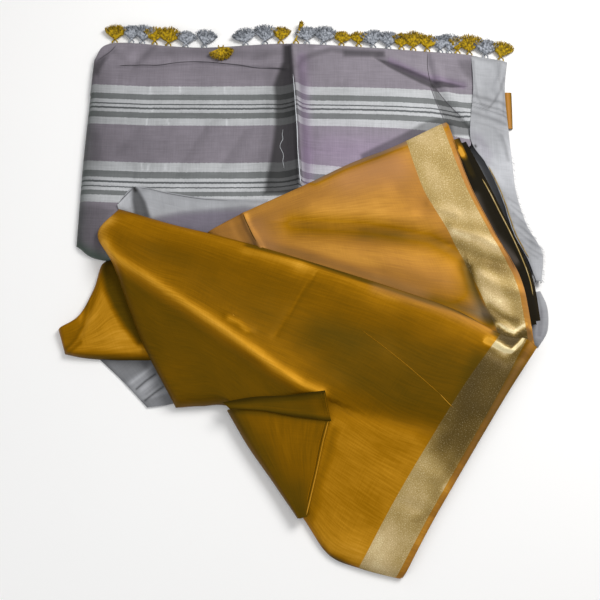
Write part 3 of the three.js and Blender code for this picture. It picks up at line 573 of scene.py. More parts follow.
pallu = {
    "flat": (0.57, 0.33),
    "rows": [
        [fringedEdge[0], (-300, 291), (-304, 192), (-306, 75)],
        [fringedEdge[1], (-268, 291), (-270, 192), (-267, 55)],
        [fringedEdge[2], (-143, 291), (-142, 184), (-141, 50)],
        [fringedEdge[3], (-7, 291), (-3, 199), (1, 82)],
        [fringedEdge[4], (140, 291), (137, 214), (135, 132)],
        [fringedEdge[5], (247, 319), (246, 275), (239, 221)],
    ],
    "step": 1.9,
    "rolls": {"start": 0.035, "end": 0.04, "first": 0.35},
    "top": drawing["palluHeight"],
    "rest": palluRest,
    "folds": [
        (2.6, 4.4, (-12, 379), (-6, 306), (-3, 229), (0, 166)),
        ((13, 12), -2.4, (-26, 369), (-24, 290), (-20, 172)),
        ((8, 9), -1, (14, 350), (16, 290), (18, 180)),
        ((5, 1.6), 1.5, (-258, 344), (-201, 345), (-143, 350), (-79, 345), (-21, 341)),
        ((1.6, 9), -0.9, (-258, 341), (-201, 342), (-143, 347), (-79, 342), (-21, 338)),
        (6, -1.5, (-292, 350), (-276, 364), (-250, 374)),
        ((2.5, 6), 1.3, (-288, 338), (-275, 356), (-262, 372)),
        ((6, 4), -1.1, (-236, 346), (-224, 362), (-213, 374)),
        (5, -1.2, (0, 350), (17, 360), (43, 366), (122, 368)),
        ((6, 3), -2.4, (109, 357), (143, 340), (190, 317), (232, 312)),
        ((8, 6), 1.4, (120, 360), (190, 330), (235, 322)),
        ((3, 9), -2.4, (184, 365), (185, 345), (190, 322), (206, 290), (226, 262), (246, 236)),
        (5, 1.6, (194, 350), (200, 322), (216, 294), (240, 264)),
        ((16, 10), -0.8, (-166, 176), (-139, 206), (-91, 244)),
        ((9, 12), -0.6, (-100, 190), (-86, 214), (-78, 240)),
    ],
    "lumps": [(46, 0.5, 3), (17, 0.22, 4)],
    "shade": palluTone,
    "shades": [
        ((27, 12), -0.42, (-300, 337), (-298, 290), (-301, 206), (-304, 90)),
        (9, -0.25, (-288, 236), (-284, 205)),
        (5, 0.07, (-258, 352), (-143, 357), (-40, 352)),
        ((6, 7), -0.08, (-255, 334), (-143, 339), (-40, 331)),
        (5, 0.12, (-280, 372), (-262, 376)),
        ((4, 8), -0.25, (-236, 346), (-224, 362), (-213, 374)),
        (5, 0.12, (-248, 352), (-238, 366)),
        (6, 0.12, (-204, 374), (-189, 354)),
        (10, -0.12, (-150, 372), (-90, 368)),
        (6, -0.32, (-1, 345), (3, 300), (6, 240), (9, 165)),
        (9, -0.22, (-200, 366), (-100, 362), (-30, 366)),
        (10, -0.24, (-42, 340), (-44, 290), (-46, 230), (-52, 160)),
        (7, -0.18, (2, 352), (14, 346), (6, 318)),
        (4, 0.2, (24, 372), (60, 377)),
        ((2, 2.6), -0.15, (249, 353), (247, 325)),
        ((4, 14), -0.18, (-167, 186), (-150, 214), (-132, 247)),
        ((12, 2), 0.06, (-152, 186), (-138, 212), (-122, 238)),
        ((3, 12), -0.15, (-106, 194), (-92, 214), (-78, 241)),
        ((5, 12), -0.1, (-251, 214), (-238, 229), (-225, 247)),
        ((6, 5), -0.16, (-271, 369), (-258, 360), (-246, 348)),
        ((5, 6), -0.14, (-65, 357), (-50, 362), (-36, 368)),
        (1.4, 0.3, (-213, 311), (-212, 299)),
        (1.4, 0.3, (-171, 312), (-170, 302)),
        (1.2, 0.22, (-107, 311), (-106, 300)),
        (1.8, 0.32, (-212, 279), (-208, 273)),
        (1.4, 0.35, (-216, 262), (-216, 252)),
        (1.4, 0.3, (-188, 260), (-184, 252)),
        (1.4, 0.3, (-104, 260), (-103, 252)),
        (1.4, 0.35, (-221, 194), (-219, 184)),
        (1.4, 0.35, (-210, 192), (-212, 184)),
        (1.4, 0.3, (-188, 193), (-187, 184)),
        (2.5, -0.14, (-230, 191), (-229, 170)),
        (5, 0.1, (28, 228), (30, 200)),
    ],
    "patches": [
        (4.5, -0.86, (-25, 380), (-25, 353), (-34, 328), (-38, 314), (-36, 290), (-36, 252), (-38, 229),
         (-42, 199), (-47, 172), (-50, 148), (1, 148), (0, 191), (-2, 229), (-5, 275), (-8, 319), (-10, 353),
         (-12, 380)),
        (4, -0.45, (-298, 347), (-287, 357), (-276, 366), (-280, 350), (-288, 328), (-299, 331)),
        (4, -0.34, (0, 350), (23, 360), (46, 368), (66, 363), (121, 360), (121, 371), (66, 373), (43, 375),
         (23, 369), (0, 360)),
        (2.4, -0.46, (62, 370), (122, 368), (122, 359), (62, 359)),
        (1.6, -0.7, (107, 359), (126, 352), (146, 344), (169, 333), (187, 325), (195, 321), (214, 318),
         (238, 312), (214, 310), (187, 310), (171, 317), (146, 331), (126, 343)),
        (2, -0.62, (186, 318), (192, 290), (199, 272), (207, 252), (213, 236), (247, 236), (238, 252),
         (226, 267), (212, 283), (199, 301), (191, 318)),
        (5, -0.34, (227, 353), (251, 353), (249, 344), (245, 320), (237, 328), (229, 341)),
        (3.4, -0.55, (84, 207), (140, 236), (175, 256), (197, 263), (214, 254), (214, 236), (197, 235),
         (151, 215), (90, 184)),
        (9, -0.38, (-310, 128), (-275, 132), (-256, 124), (-268, 100), (-262, 50), (-310, 60)),
        (8, -0.1, (-220, 376), (-176, 374), (-178, 356), (-222, 354)),
    ],
    "tints": [
        ((9, 7), 0.45, (2, 357), (4, 310), (7, 250), (10, 165)),
        ((40, 30), 0.35, (150, 205), (40, 215)),
        (5, 0.4, (130, 352), (169, 331), (232, 313)),
        (9, -0.9, (-306, 72), (-285, 62), (-262, 54)),
        (12, -0.4, (-303, 300), (-304, 200), (-306, 80)),
    ],
    "threads": lambda x, y: (x, y - stripeLift(x, y)),
}
addPlain("palluPanel", pallu, "pallu_stack", stripedCloth, "grey_cloth", "pallu_panel")


def sideTone(x, y):  # painted light: lighter at the top, and lightest beside the silk's corner
    return 0.84 + 0.08 * smoothStep(300, 330, y) + 0.26 * smoothStep(140, 180, y) * (1 - smoothStep(205, 240, y))


side = {
    "flat": (0.06, 0.36),
    "rows": [
        [(246, 364), (246, 307), (239, 232), (258, 196), (277, 147), (291, 93), (308, 56), (318, 24)],
        [(276, 359), (268, 307), (266, 246), (279, 203), (288, 155), (301, 108), (318, 68), (322, 24)],
        [(299, 354), (293, 307), (295, 243), (297, 199), (300, 152), (312, 102), (330, 65), (326, 22)],
    ],
    "step": 1.4,
    "rolls": {"start": 0.03, "last": 0.4},
    "top": lambda x, y: 11 + 1.9 * (1 - smoothStep(246, 262, x)) * smoothStep(200, 240, y),
    "rest": 4.0,
    "folds": [
        ((2, 5), 1.5, (252, 354), (251, 322), (249, 291)),
        ((3, 4), 1.8, (287, 344), (282, 306), (282, 275)),
        (3, 1.2, (291, 335), (281, 322), (270, 291)),
        (3, 1.5, (256, 278), (266, 284), (266, 274)),
        ((4, 3), -1.4, (273, 303), (266, 278)),
        (3, 1.2, (277, 245), (285, 229), (290, 207)),
        (5, 1.8, (286, 130), (303, 108), (320, 82)),
        (4, 0.8, (262, 200), (275, 190), (292, 192)),
        (3, 0.9, (294, 94), (312, 82), (326, 70)),
    ],
    "lumps": [(22, 0.7, 11), (9, 0.45, 12)],
    "shade": sideTone,
    "shades": [
        (4, -0.25, (246, 362), (262, 355), (296, 351)),
        ((1.6, 2.4), -0.24, (248, 350), (249, 318), (252, 294), (259, 282), (266, 278)),
        ((1.6, 2), -0.34, (292, 326), (284, 303), (276, 289), (268, 279)),
        ((1.6, 2), -0.24, (287, 346), (284, 322), (290, 303), (288, 268)),
        ((3, 4), -0.14, (296, 340), (294, 310), (293, 260)),
        (7, -0.12, (264, 300), (266, 284)),
        (3, -0.34, (240, 298), (264, 293), (292, 284)),
        (1.4, -0.38, (240, 287), (264, 282), (292, 272)),
        (1.4, -0.38, (240, 281), (265, 275), (292, 265)),
        (3, -0.34, (240, 271), (266, 264), (290, 254)),
        (1.4, -0.16, (246, 256), (266, 251), (285, 243)),
        ((1.5, 3), -0.32, (283, 237), (288, 220), (291, 199)),
        (4, -0.12, (240, 232), (250, 226), (262, 222)),
        (3, -0.25, (228, 236), (240, 219), (258, 194), (278, 150), (292, 92), (310, 52), (318, 24)),
        (1.4, -0.22, (290, 132), (306, 118), (324, 96)),
        (1.4, -0.22, (292, 120), (306, 105), (322, 88)),
        (1.4, -0.22, (291, 108), (306, 97), (322, 80)),
        (1.6, -0.24, (295, 96), (311, 82), (327, 70)),
        (1.6, -0.24, (300, 82), (315, 68), (330, 59)),
        (1.4, -0.18, (286, 143), (304, 130)),
        (1.6, -0.2, (308, 66), (322, 56)),
        (1.9, -0.9, (245, 220), (246, 219)),
    ],
    "tints": [((8, 12), 0.3, (250, 232), (262, 208))],
    "threads": lambda x, y: (x, y - stripeLift(x, y)),
}
addPlain("palluSide", side, "pallu_stack", paleGrey, "pale_grey_cloth", "pallu_side_panel")

turnback = {
    "flat": (0.21, 0.075),
    "rows": [
        [(-251, 132), (-248, 124), (-245, 116)],
        [(-229, 158), (-224, 132), (-217, 104)],
        [(-186, 151), (-181, 121), (-176, 87)],
        [(-131, 142), (-129, 110), (-126, 78)],
        [(-83, 140), (-82, 117), (-82, 92)],
        [(-44, 140), (-48, 130), (-52, 118)],
    ],
    "step": 1.4,
    "rolls": {"start": 0.12},
    "top": drawing["palluHeight"] + drawing["layerStep"],
    "rest": drawing["palluHeight"] + 1.1,
    "folds": [
        ((5, 8), 1.6, (-229, 158), (-240, 143), (-252, 131)),
        ((4, 5), -1.0, (-226, 156), (-220, 138), (-214, 118)),
        ((12, 14), 1.4, (-206, 150), (-196, 120)),
    ],
    "lumps": [(20, 0.35, 21)],
    "shade": 0.82,
    "shades": [
        (3, -0.95, (-229, 157), (-227, 153)),
        ((2, 2.5), -0.16, (-216, 154), (-186, 149), (-131, 139), (-44, 136)),
        ((8, 9), 0.08, (-206, 146), (-200, 120)),
        (3, 0.14, (-236, 148), (-248, 132)),
        (5, -0.16, (-216, 110), (-180, 99), (-130, 86)),
    ],
    "patches": [
        (3, -0.72, (-231, 158), (-231, 140), (-226, 112), (-204, 112), (-212, 136), (-224, 156)),
        (3, 0.2, (-251, 132), (-236, 149), (-233, 140), (-233, 122)),
        (4, -0.3, (-204, 112), (-167, 121), (-123, 126), (-74, 131), (-40, 128), (-60, 90), (-130, 70),
         (-204, 92)),
    ],
    "dyes": [
        (7, 0.75, (-196, 112), (-167, 119), (-123, 123), (-74, 126), (-40, 120), (-60, 90), (-130, 70),
         (-190, 92)),
    ],
}
addPlain("palluTurnback", turnback, "palluPanel", paleGrey, "pale_grey_cloth", "pallu_turnback")

corner = {
    "flat": (0.1, 0.1),
    "rows": [
        [(-270, -78), (-234, -111), (-200, -146)],
        [(-226, -63), (-196, -94), (-170, -142)],
        [(-186, -63), (-161, -94), (-142, -131)],
    ],
    "step": 1.4,
    "rolls": {"first": 0.1},
    "top": 3.0,
    "rest": drawing["lowEdge"],
    "folds": [(6, 0.7, (-236, -126), (-185, -86))],
    "lumps": [(16, 0.35, 31)],
    "shade": 0.7,
    "shades": [
        (9, -0.55, (-274, -80), (-238, -82), (-198, -86), (-178, -112)),
        (5, -0.2, (-270, -80), (-237, -110), (-200, -144)),
        ((1.2, 1.4), -0.75, (-215, -122), (-203, -111), (-191, -102)),
        ((1.2, 1.4), -0.75, (-203, -137), (-191, -127), (-180, -119)),
        (1.6, -0.2, (-202, -129), (-187, -116)),
        (2.6, 0.34, (-222, -114), (-206, -101), (-196, -92)),
        (3, 0.32, (-208, -122), (-186, -105)),
    ],
    "patches": [
        (4, -0.34, (-265, -78), (-198, -76), (-200, -94), (-218, -105), (-235, -118), (-262, -92)),
        (2.5, -0.36, (-210, -138), (-184, -131), (-166, -124), (-168, -146), (-198, -153)),
    ],
    # its threads slant, along (0.787, 0.617)
    "threads": lambda x, y: (0.787 * x + 0.617 * y, 0.787 * y - 0.617 * x + 232),
}
addPlain("palluCorner", corner, "floor", paleGrey, "grey_cloth", "pallu_corner")

lobe = {
    "flat": (0.03, 0.09),
    "rows": [[(310, 10), (310, -15), (308, -43), (307, -64)], [(325, 12), (333, -12), (331, -43), (317, -66)]],
    "step": 1.4,
    "rolls": {"start": 0.15, "end": 0.15, "last": 0.6},
    "top": 8.0,
    "rest": drawing["lowEdge"],
    "folds": [(3, -0.9, (318, 8), (322, -20), (316, -50))],
    "lumps": [(12, 0.3, 41)],
    "shade": 0.76,
    "shades": [
        ((4, 5), -0.5, (310, 10), (310, -15), (308, -64)),
        ((1.8, 2.4), -0.3, (319, 6), (323, -20), (318, -50)),
    ],
    "tints": [(8, 0.2, (320, -20), (318, -50))],
}
addPlain("palluLobe", lobe, "floor", paleGrey, "pale_grey_cloth", "pallu_lobe")

strip = {
    "flat": (0.02, 0.06),
    "rows": [[(292, 306), (292, 282), (294, 250)], [(303, 306), (302.5, 282), (301.5, 250)]],
    "step": 1,
    "rolls": {"last": 0.3},
    "top": 4.0,
    "rest": drawing["lowEdge"],
    "shade": 0.5,
    "shades": [
        (1.6, 0.2, (297, 306), (297, 250)),
        (1.2, -0.35, (302, 306), (301.6, 250)),
    ],
    "tints": [((2.5, 2.0), 0.4, (296.6, 306), (297.2, 250))],
}
addPlain("stripBehind", strip, "floor", mustardSilk, "mustard_silk", "body_strip_behind")

foot = {
    "flat": (0.15, 0.14),
    "rows": [
        [(-323, -41), (-318, -56), (-312, -75)],
        [(-295, -22), (-295, -51), (-288, -80)],
        [(-278, 16), (-272, -37), (-256, -83)],
        [(-268, 51), (-251, -16), (-223, -84)],
        [(-241, 57), (-217, -16), (-182, -84)],
    ],
    "step": 1.5,
    "rolls": {"start": 0.1, "end": 0.08, "first": 0.3},
    "top": lambda x, y: 3.6 + 8.4 * climb(y),
    "rest": drawing["lowEdge"],
    "folds": [
        ((7, 5), -2.6, (-312, -71), (-292, -51), (-281, -10), (-272, 39)),
        (6, 2.2, (-309, -71), (-271, -74), (-211, -71)),
        (9, 1, (-266, -42), (-238, -60), (-210, -66)),
        ((5, 6), 1.2, (-322, -44), (-300, -30), (-284, 0)),
    ],
    "lumps": [(26, 0.5, 51)],
    "shade": 0.84,
    "shades": [
        ((13, 12), -0.32, (-266, 50), (-278, 15), (-286, -8)),
        ((3, 2.5), -0.3, (-312, -73), (-297, -55), (-289, -38), (-284, -8)),
        ((4, 2), -0.25, (-306, -77), (-290, -62)),
        ((8, 6), -0.66, (-312, -81), (-271, -83), (-198, -85)),
    ],
    "patches": [
        (6, -0.66, (-264, 66), (-268, 40), (-262, 10), (-250, -14), (-234, -40), (-214, -64), (-196, -64),
         (-200, -20), (-230, 30), (-240, 66)),
        (5, -0.28, (-332, -40), (-296, -18), (-290, -40), (-299, -56), (-316, -80)),
    ],
}
addPlain("bodyFoot", foot, "floor", mustardSilk, "mustard_silk", "body_foot")

upper = {
    "flat": (0.44, 0.33),
    "rows": [
        [(-126, 91), (-123, 87), (-119, 82), (-116, 79), (-113, 76)],
        [(-78, 119), (-71, 103), (-65, 87), (-58, 70), (-51, 53)],
        [(0, 157), (4, 125), (8, 93), (14, 60), (20, 28)],
        [(69, 192), (78, 143), (89, 93), (100, 45), (113, -3)],
        [(118, 212), (133, 151), (152, 90), (171, 31), (192, -27)],
        [(148, 226), (170, 151), (199, 95), (229, 31), (263, -58)],
        [(199, 252), (228, 157), (257, 89), (287, 22), (300, -66)],
        [(208, 252), (235, 156), (265, 86), (295, 22), (308, -72)],
    ],
    "cuts": (5, 6),
    "step": 1.9,
    "rolls": {"start": 0.07, "first": 0.3},
    "top": lambda x, y: heapHeight(y),
    "rest": drawing["overPallu"],
    "folds": [
        ((5, 2), 3, (-81, 122), (-72, 96), (-54, 66)),
        ((7, 6), -1.2, (-92, 110), (-82, 86), (-68, 66)),
        ((19, 20), -4, (-10, 94), (81, 91), (162, 84), (204, 66), (226, 44)),
        ((14, 12), 2, (14, 118), (82, 114), (149, 109)),
        ((9, 11), -2.6, (224, 42), (231, 14), (240, -16)),
        ((8, 9), -3, (206, 74), (242, 54), (280, 42)),
        (6, 1.6, (206, 96), (246, 82), (266, 70)),
        ((8, 10), 2, (240, 30), (262, 16), (292, 4)),
        (5, -1.8, (250, -14), (268, -30), (284, -46)),
        ((2, 3), 1.6, (262, -34), (276, -45), (292, -51), (306, -44)),
        (6, 1, (177, 130), (212, 116)),
        (16, 0.8, (62, 152), (136, 136), (176, 115)),
        (14, 1, (27, 60), (107, 50), (186, 16)),
        (9, -0.8, (110, 30), (170, 10), (240, -30)),
    ],
    "lumps": [(60, 0.7, 61), (22, 0.3, 62)],
    "shade": 0.82,
    "shades": [
        ((1.6, 4), -0.4, (-80, 118), (-71, 96), (-60, 72)),
        ((5, 2.5), 0.14, (-76, 116), (-65, 95), (-54, 74), (-45, 63)),
        ((14, 26), -0.16, (-50, 112), (-10, 128), (24, 148)),
        ((12, 16), -0.14, (-60, 102), (0, 94), (60, 90), (130, 85)),
        ((13, 17), -0.16, (10, 93), (60, 90), (150, 83), (185, 78), (210, 67)),
        ((13, 17), -0.24, (90, 88), (150, 83), (185, 78), (210, 67), (232, 55), (258, 45), (290, 38)),
        ((14, 9), 0.07, (14, 118), (82, 117), (149, 113)),
        ((14, 16), 0.05, (40, 48), (110, 42), (180, 42)),
        ((4, 13), -0.6, (228, 42), (232, 14), (240, -10), (254, -34)),
        ((9, 8), -0.46, (-60, 74), (0, 58), (60, 38), (120, 17), (180, -5), (230, -24), (256, -34)),
        ((4, 9), -0.16, (0, 158), (62, 186), (110, 207), (148, 223)),
        ((22, 26), -0.07, (60, 170), (124, 186)),
        ((22, 26), -0.2, (120, 34), (180, 22), (214, 8)),
        ((26, 34), -0.2, (110, 196), (150, 172), (176, 140)),
        (16, -0.12, (-66, 100), (-30, 84)),
        # on the border
        ((8, 7), 0.08, (184, 126), (212, 121), (246, 112)),
        (7, -0.28, (210, 250), (236, 160), (266, 92), (296, 30), (308, -30)),
        ((20, 16), -0.16, (172, 205), (196, 190), (214, 170), (222, 130)),
        ((14, 12), -0.24, (262, 40), (276, 10), (290, -24)),
        ((7, 8), -0.2, (200, 102), (228, 98), (260, 90)),
        ((5, 6), 0.22, (210, 90), (226, 82)),
        ((7, 6), 0.06, (234, 80), (262, 70)),
        ((8, 7), 0.18, (240, 33), (258, 26), (292, 14)),
        ((6, 7), 0.1, (246, 6), (262, -6), (296, -8)),
        ((5, 6), -0.42, (250, -16), (266, -28), (286, -34)),
        (2, 0.5, (260, -38), (270, -46), (281, -50), (292, -42), (298, -39)),
    ],
    "patches": [
        (4, -0.26, (-128, 92), (-80, 121), (-68, 88), (-56, 66), (-100, 80)),
        (2, -0.62, (261, -41), (270, -48), (281, -53), (292, -46), (300, -42), (308, -60), (270, -80),
         (250, -56)),
    ],
    "tint": 0.3,
    "tints": [
        # less blush and a little grey along the trough and the border's inner side: part of their painted shade
        ((14, 22), -0.35, (-10, 104), (90, 98), (175, 82), (222, 54), (234, 0), (250, -30)),
        ((26, 28), 0.35, (66, 172), (130, 186)),
        ((5, 8), -1.0, (20, 168), (62, 187), (110, 208), (150, 226), (200, 252)),
        (12, 0.15, (-60, 100), (-40, 68)),
        (6, 0.3, (220, 200), (240, 150), (270, 82), (300, 20), (310, -40)),
        # grey along the front's edge: painted shadow
        ((16, 12), -0.3, (180, -10), (236, -24)),
    ],
}
addSheet("upperPanel", upper, "body_core",
         ("upperPanel", 0, 5, mustardSilk, "mustard_silk", "body_upper_panel"),
         ("upperBorder", 5, 6, zariBorder, "zari_border", "upper_border"),
         ("upperSelvedge", 6, 7, mustardSilk, "mustard_silk", "upper_selvedge"))


def frontUnderside(x, y, v):  # along its upper edge the stretch lies on the heap, past the left end
    low = frontRest(y)
    return low + (heapHeight(y) + 1.9 - low) * smoothStep(-180, -110, x) * (v < 0.5)


front = {
    "flat": (0.62, 0.52),
    "rows": [
        [(-248, 125), (-275, 89), (-251, 43), (-210, -58), (-162, -147)],
        [(-190, 107), (-203, 46), (-196, -6), (-167, -74), (-129, -145)],
        [(-128, 89), (-147, 28), (-152, -23), (-130, -81), (-91, -147)],
        [(-51, 67), (-79, -6), (-85, -61), (-78, -114), (-60, -190)],
        [(40, 38), (0, -34), (-26, -94), (-36, -153), (-30, -236)],
        [(133, 7), (92, -67), (52, -133), (23, -204), (6, -290)],
        [(205, -20), (156, -101), (115, -172), (76, -241), (36, -332)],
        [(263, -52), (213, -119), (166, -191), (118, -268), (73, -348)],
        [(297, -59), (255, -133), (206, -213), (159, -290), (119, -360)],
        [(310, -70), (266, -134), (214, -216), (166, -293), (128, -360)],
    ],
    "cuts": (7, 8),
    "step": 2.1,
    "rolls": {"start": 0.05, "end": 0.06, "first": 0.35},
    "top": lambda x, y: heapHeight(y) + 4,
    "rest": frontUnderside,
    "folds": [
        ((34, 14), 7, (-260, 60), (-213, 30), (-159, -7), (-105, -45), (-53, -84), (0, -122), (28, -134)),
        (7, 3.4, (-263, 62), (-214, 31), (-160, -7), (-106, -45), (-53, -84), (0, -122), (26, -132)),
        ((8, 10), 1.8, (-230, 112), (-128, 80), (-51, 58), (53, 24), (132, -2), (211, -29)),
        (26, -2.6, (-180, 60), (-80, 20), (40, -30), (120, -60)),
        (5, -0.7, (20, 31), (0, 6), (-33, -55)),
        ((8, 5), 1.6, (-94, -32), (-80, -40), (-68, -50)),
        (3, 2.4, (250, -59), (266, -72), (282, -76), (304, -54)),
        ((6, 7), -1.6, (249, -76), (268, -90), (290, -84)),
        ((16, 12), -2, (40, -138), (83, -156), (128, -163), (173, -172)),
        (12, -2, (-228, -7), (-196, -74)),
        (8, 0.9, (152, -228), (196, -250)),
        (7, -0.9, (130, -270), (168, -284)),
    ],
    "lumps": [(70, 0.9, 71), (26, 0.35, 72)],
    "shade": 0.5,
    "shades": [
        ((8, 7), 0.74, (-263, 66), (-241, 46), (-198, 18), (-162, -6), (-123, -32), (-92, -55), (-57, -79),
         (-27, -102), (6, -122), (30, -131)),
        ((20, 12), 0.1, (-248, 60), (-196, 28), (-121, -18), (-55, -64), (0, -104)),
        ((4, 9), 0.22, (-70, 62), (0, 43), (60, 22), (120, -1), (200, -27), (258, -51)),
        ((5, 2), -0.5, (-70, 68), (0, 49), (60, 28), (120, 5), (200, -21), (246, -40)),
        ((14, 17), 0.34, (-262, 106), (-230, 104), (-180, 95), (-120, 79), (-60, 62), (0, 44)),
        ((12, 14), 0.22, (0, 34), (80, 6), (160, -22), (240, -52)),
        ((12, 14), 0.62, (-262, 106), (-274, 92), (-264, 76)),
        (22, -0.12, (-190, 60), (-110, 20), (-30, -30), (60, -60)),
        (30, 0.16, (56, -318), (84, -330)),
        ((5, 3.4), -0.8, (4, -304), (34, -334), (73, -353), (100, -361)),
        ((6, 5), -0.2, (44, -178), (35, -212), (22, -250), (14, -286)),
        ((5, 4), 0.5, (-92, -34), (-80, -39), (-70, -50)),
        (1.8, 0.14, (20, 31), (2, 5), (-15, -25), (-33, -55)),
        (2, -0.1, (24, 30), (6, 3), (-11, -27)),
        ((4, 3.5), -0.62, (-240, 126), (-126, 92), (-60, 73), (0, 57), (60, 36), (140, 9), (200, -13),
         (255, -36)),
        ((3, 5), -0.15, (-262, 40), (-238, 0), (-210, -58), (-164, -146)),
        ((12, 14), 0.1, (150, -172), (190, -180), (224, -166)),
        # on the border
        ((2.2, 1.8), 2.4, (243, -63), (257, -69), (275, -77), (288, -65), (298, -49)),
        (6, 0.9, (246, -62), (258, -70), (266, -78)),
        (7, 0.42, (184, -250), (190, -256)),
        (5, 0.1, (160, -262), (176, -276)),
        ((6, 5), -0.16, (146, -290), (166, -282)),
        (14, 0.1, (118, -306), (104, -330), (92, -350)),
        ((5, 6), 0.16, (196, -214), (206, -226)),
        (5, 0.3, (236, -170), (206, -217), (170, -276), (148, -318)),
    ],
    "patches": [
        (2, -0.6, (250, -50), (262, -42), (279, -52), (297, -42), (294, -56), (276, -72), (262, -63)),
        (6, -0.27, (-268, 50), (-244, 32), (-200, 4), (-164, -20), (-125, -46), (-94, -69), (-59, -93),
         (-28, -116), (6, -136), (4, -150), (-60, -156), (-100, -156), (-180, -170), (-240, -60), (-280, 20)),
        (20, -0.28, (20, -30), (132, -52), (232, -84), (225, -146), (182, -176), (103, -150), (39, -112),
         (0, -67)),
        (14, -0.38, (226, -76), (250, -74), (268, -88), (292, -80), (296, -110), (246, -186), (196, -234),
         (166, -204), (196, -160)),
        (14, 0.46, (36, -152), (80, -160), (140, -178), (196, -206), (170, -260), (130, -370), (60, -370),
         (-10, -300), (10, -230)),
    ],
    "tints": [
        (5, 0.22, (303, -66), (260, -134), (210, -215), (162, -292), (124, -360)),
        ((6, 8), 0.2, (250, -48), (180, -18), (100, 8)),
    ],
}
addSheet("frontPanel", front, "body_core",
         ("frontPanel", 0, 7, mustardSilk, "mustard_silk", "body_front_panel"),
         ("frontBorder", 7, 8, zariBorder, "zari_border", "front_border"),
         ("frontSelvedge", 8, 9, mustardSilk, "mustard_silk", "front_selvedge"))


def frontSurface(x, y):  # the top of the front stretch, with its big soft fold
    return front["top"](x, y) + strokeSum(front["folds"][:1], x, y)


tuck = {
    "flat": (0.14, 0.04),
    "rows": [
        [(-100, -143), (-95, -147), (-90, -152)],
        [(-58, -136), (-54, -145), (-49, -154)],
        [(-13, -134), (-8, -148), (-3, -162)],
        [(32, -129), (36, -149), (40, -167)],
    ],
    "step": 1.4,
    "rolls": {"end": 0.15},
    "rest": lambda x, y, v: frontSurface(x, y) + 4.6,
    "top": lambda x, y: frontSurface(x, y) + 5.4,
    "shade": 0.36,
    "shades": [
        ((5, 7), -0.55, (-100, -142), (-58, -136), (-13, -133), (34, -129)),
        (8, 0.2, (20, -142), (30, -162)),
        (3, -0.45, (-92, -152), (-49, -155), (0, -161), (38, -166)),
    ],
}
addPlain("frontTuck", tuck, "frontPanel", mustardSilk, "mustard_silk", "front_tuck")

fold = {
    "flat": (0.14, 0.15),
    "rows": [
        [(-95, -151), (-48, -150), (-3, -156), (39, -163)],
        [(-68, -196), (-33, -198), (-3, -199), (28, -203)],
        [(-38, -238), (-17, -240), (2, -241), (19, -245)],
        [(-3, -288), (1, -288), (5, -287), (9, -286)],
    ],
    "step": 1.5,
    "rolls": {"start": 0.14},
    "rest": lambda x, y, v: frontRest(y) + 3,
    "top": lambda x, y: frontSurface(x, y) + 3,
    "lumps": [(30, 0.3, 81)],
    "shade": 0.52,
    "shades": [
        ((22, 12), -0.34, (-92, -156), (-62, -194), (-32, -238), (2, -288)),
        ((3, 4), -0.3, (-90, -153), (-40, -157), (39, -168)),
        (14, -0.16, (0, -252), (6, -286)),
        (12, 0.05, (-30, -172), (10, -182)),
    ],
}
addPlain("cornerFold", fold, "frontPanel", mustardSilk, "mustard_silk", "corner_fold")


def leafHeight(drop, opening):  # how far under the heap's top a leaf lies, and more where the gap is widest
    def height(x, y):
        widest = smoothStep(-40, 30, y) * (1 - smoothStep(150, 230, y))
        return np.maximum(heapHeight(y) - drop - opening * widest, 13.4)
    return height


# The two leaves deep in the gap are painted nearly black as painted shadow, and lighter only where they rise out
# of it
leafHigh = {
    "flat": (0.05, 0.3),
    "rows": [
        [(182, 217), (215, 145), (250, 80), (278, 18), (288, -39)],
        [(223, 231), (248, 162), (277, 92), (303, 25), (312, -39)],
    ],
    "step": 1.4,
    "top": leafHeight(1.8, 2),
    "rest": 0,
    "shade": 0.04,
    "shades": [
        ((6, 5), 9, (208, 240), (219, 222), (226, 206)),
        ((6, 2), 3, (222, 212), (230, 192), (236, 176)),
    ],
    # grey along the leaf: a painted reflection of the grey cloth in the gap
    "tints": [((5, 6), -0.3, (241, 144), (250, 116), (262, 88), (290, 50))],
}
addPlain("gapLeafHigh", leafHigh, "body_core", gapShadowSilk, "mustard_silk", "gap_leaf_high")

leafLow = {
    "flat": (0.05, 0.3),
    "rows": [
        [(190, 208), (220, 147), (254, 81), (279, 19), (288, -38)],
        [(232, 226), (260, 164), (287, 97), (312, 29), (318, -33)],
    ],
    "step": 1.4,
    "top": leafHeight(3.9, 5),
    "rest": 0,
    "shade": 0.04,
    "shades": [((1, 1.4), 1, (256, 170), (286, 97), (311, 29), (317, -33))],
}
addPlain("gapLeafLow", leafLow, "body_core", gapShadowSilk, "mustard_silk", "gap_leaf_low")


def surfaceOf(piece):
    corners = [tuple(v.co) for v in piece.data.vertices]
    return BVHTree.FromPolygons(corners, [tuple(face.vertices) for face in piece.data.polygons])


def plumb(tree, x, y, fromZ, way):  # where a plumb line from a height meets a laid piece, None past its edge
    hit = tree.ray_cast(Vector(place(np.array([x, y, fromZ]))), Vector((0, 0, way)))[0]
    return None if hit is None else hit.z / drawing["unit"]


# The hidden layers: folded edges stacked on each other, kept under the cloth that lies over them
covers = [surfaceOf(piece) for piece in pieces.values()]

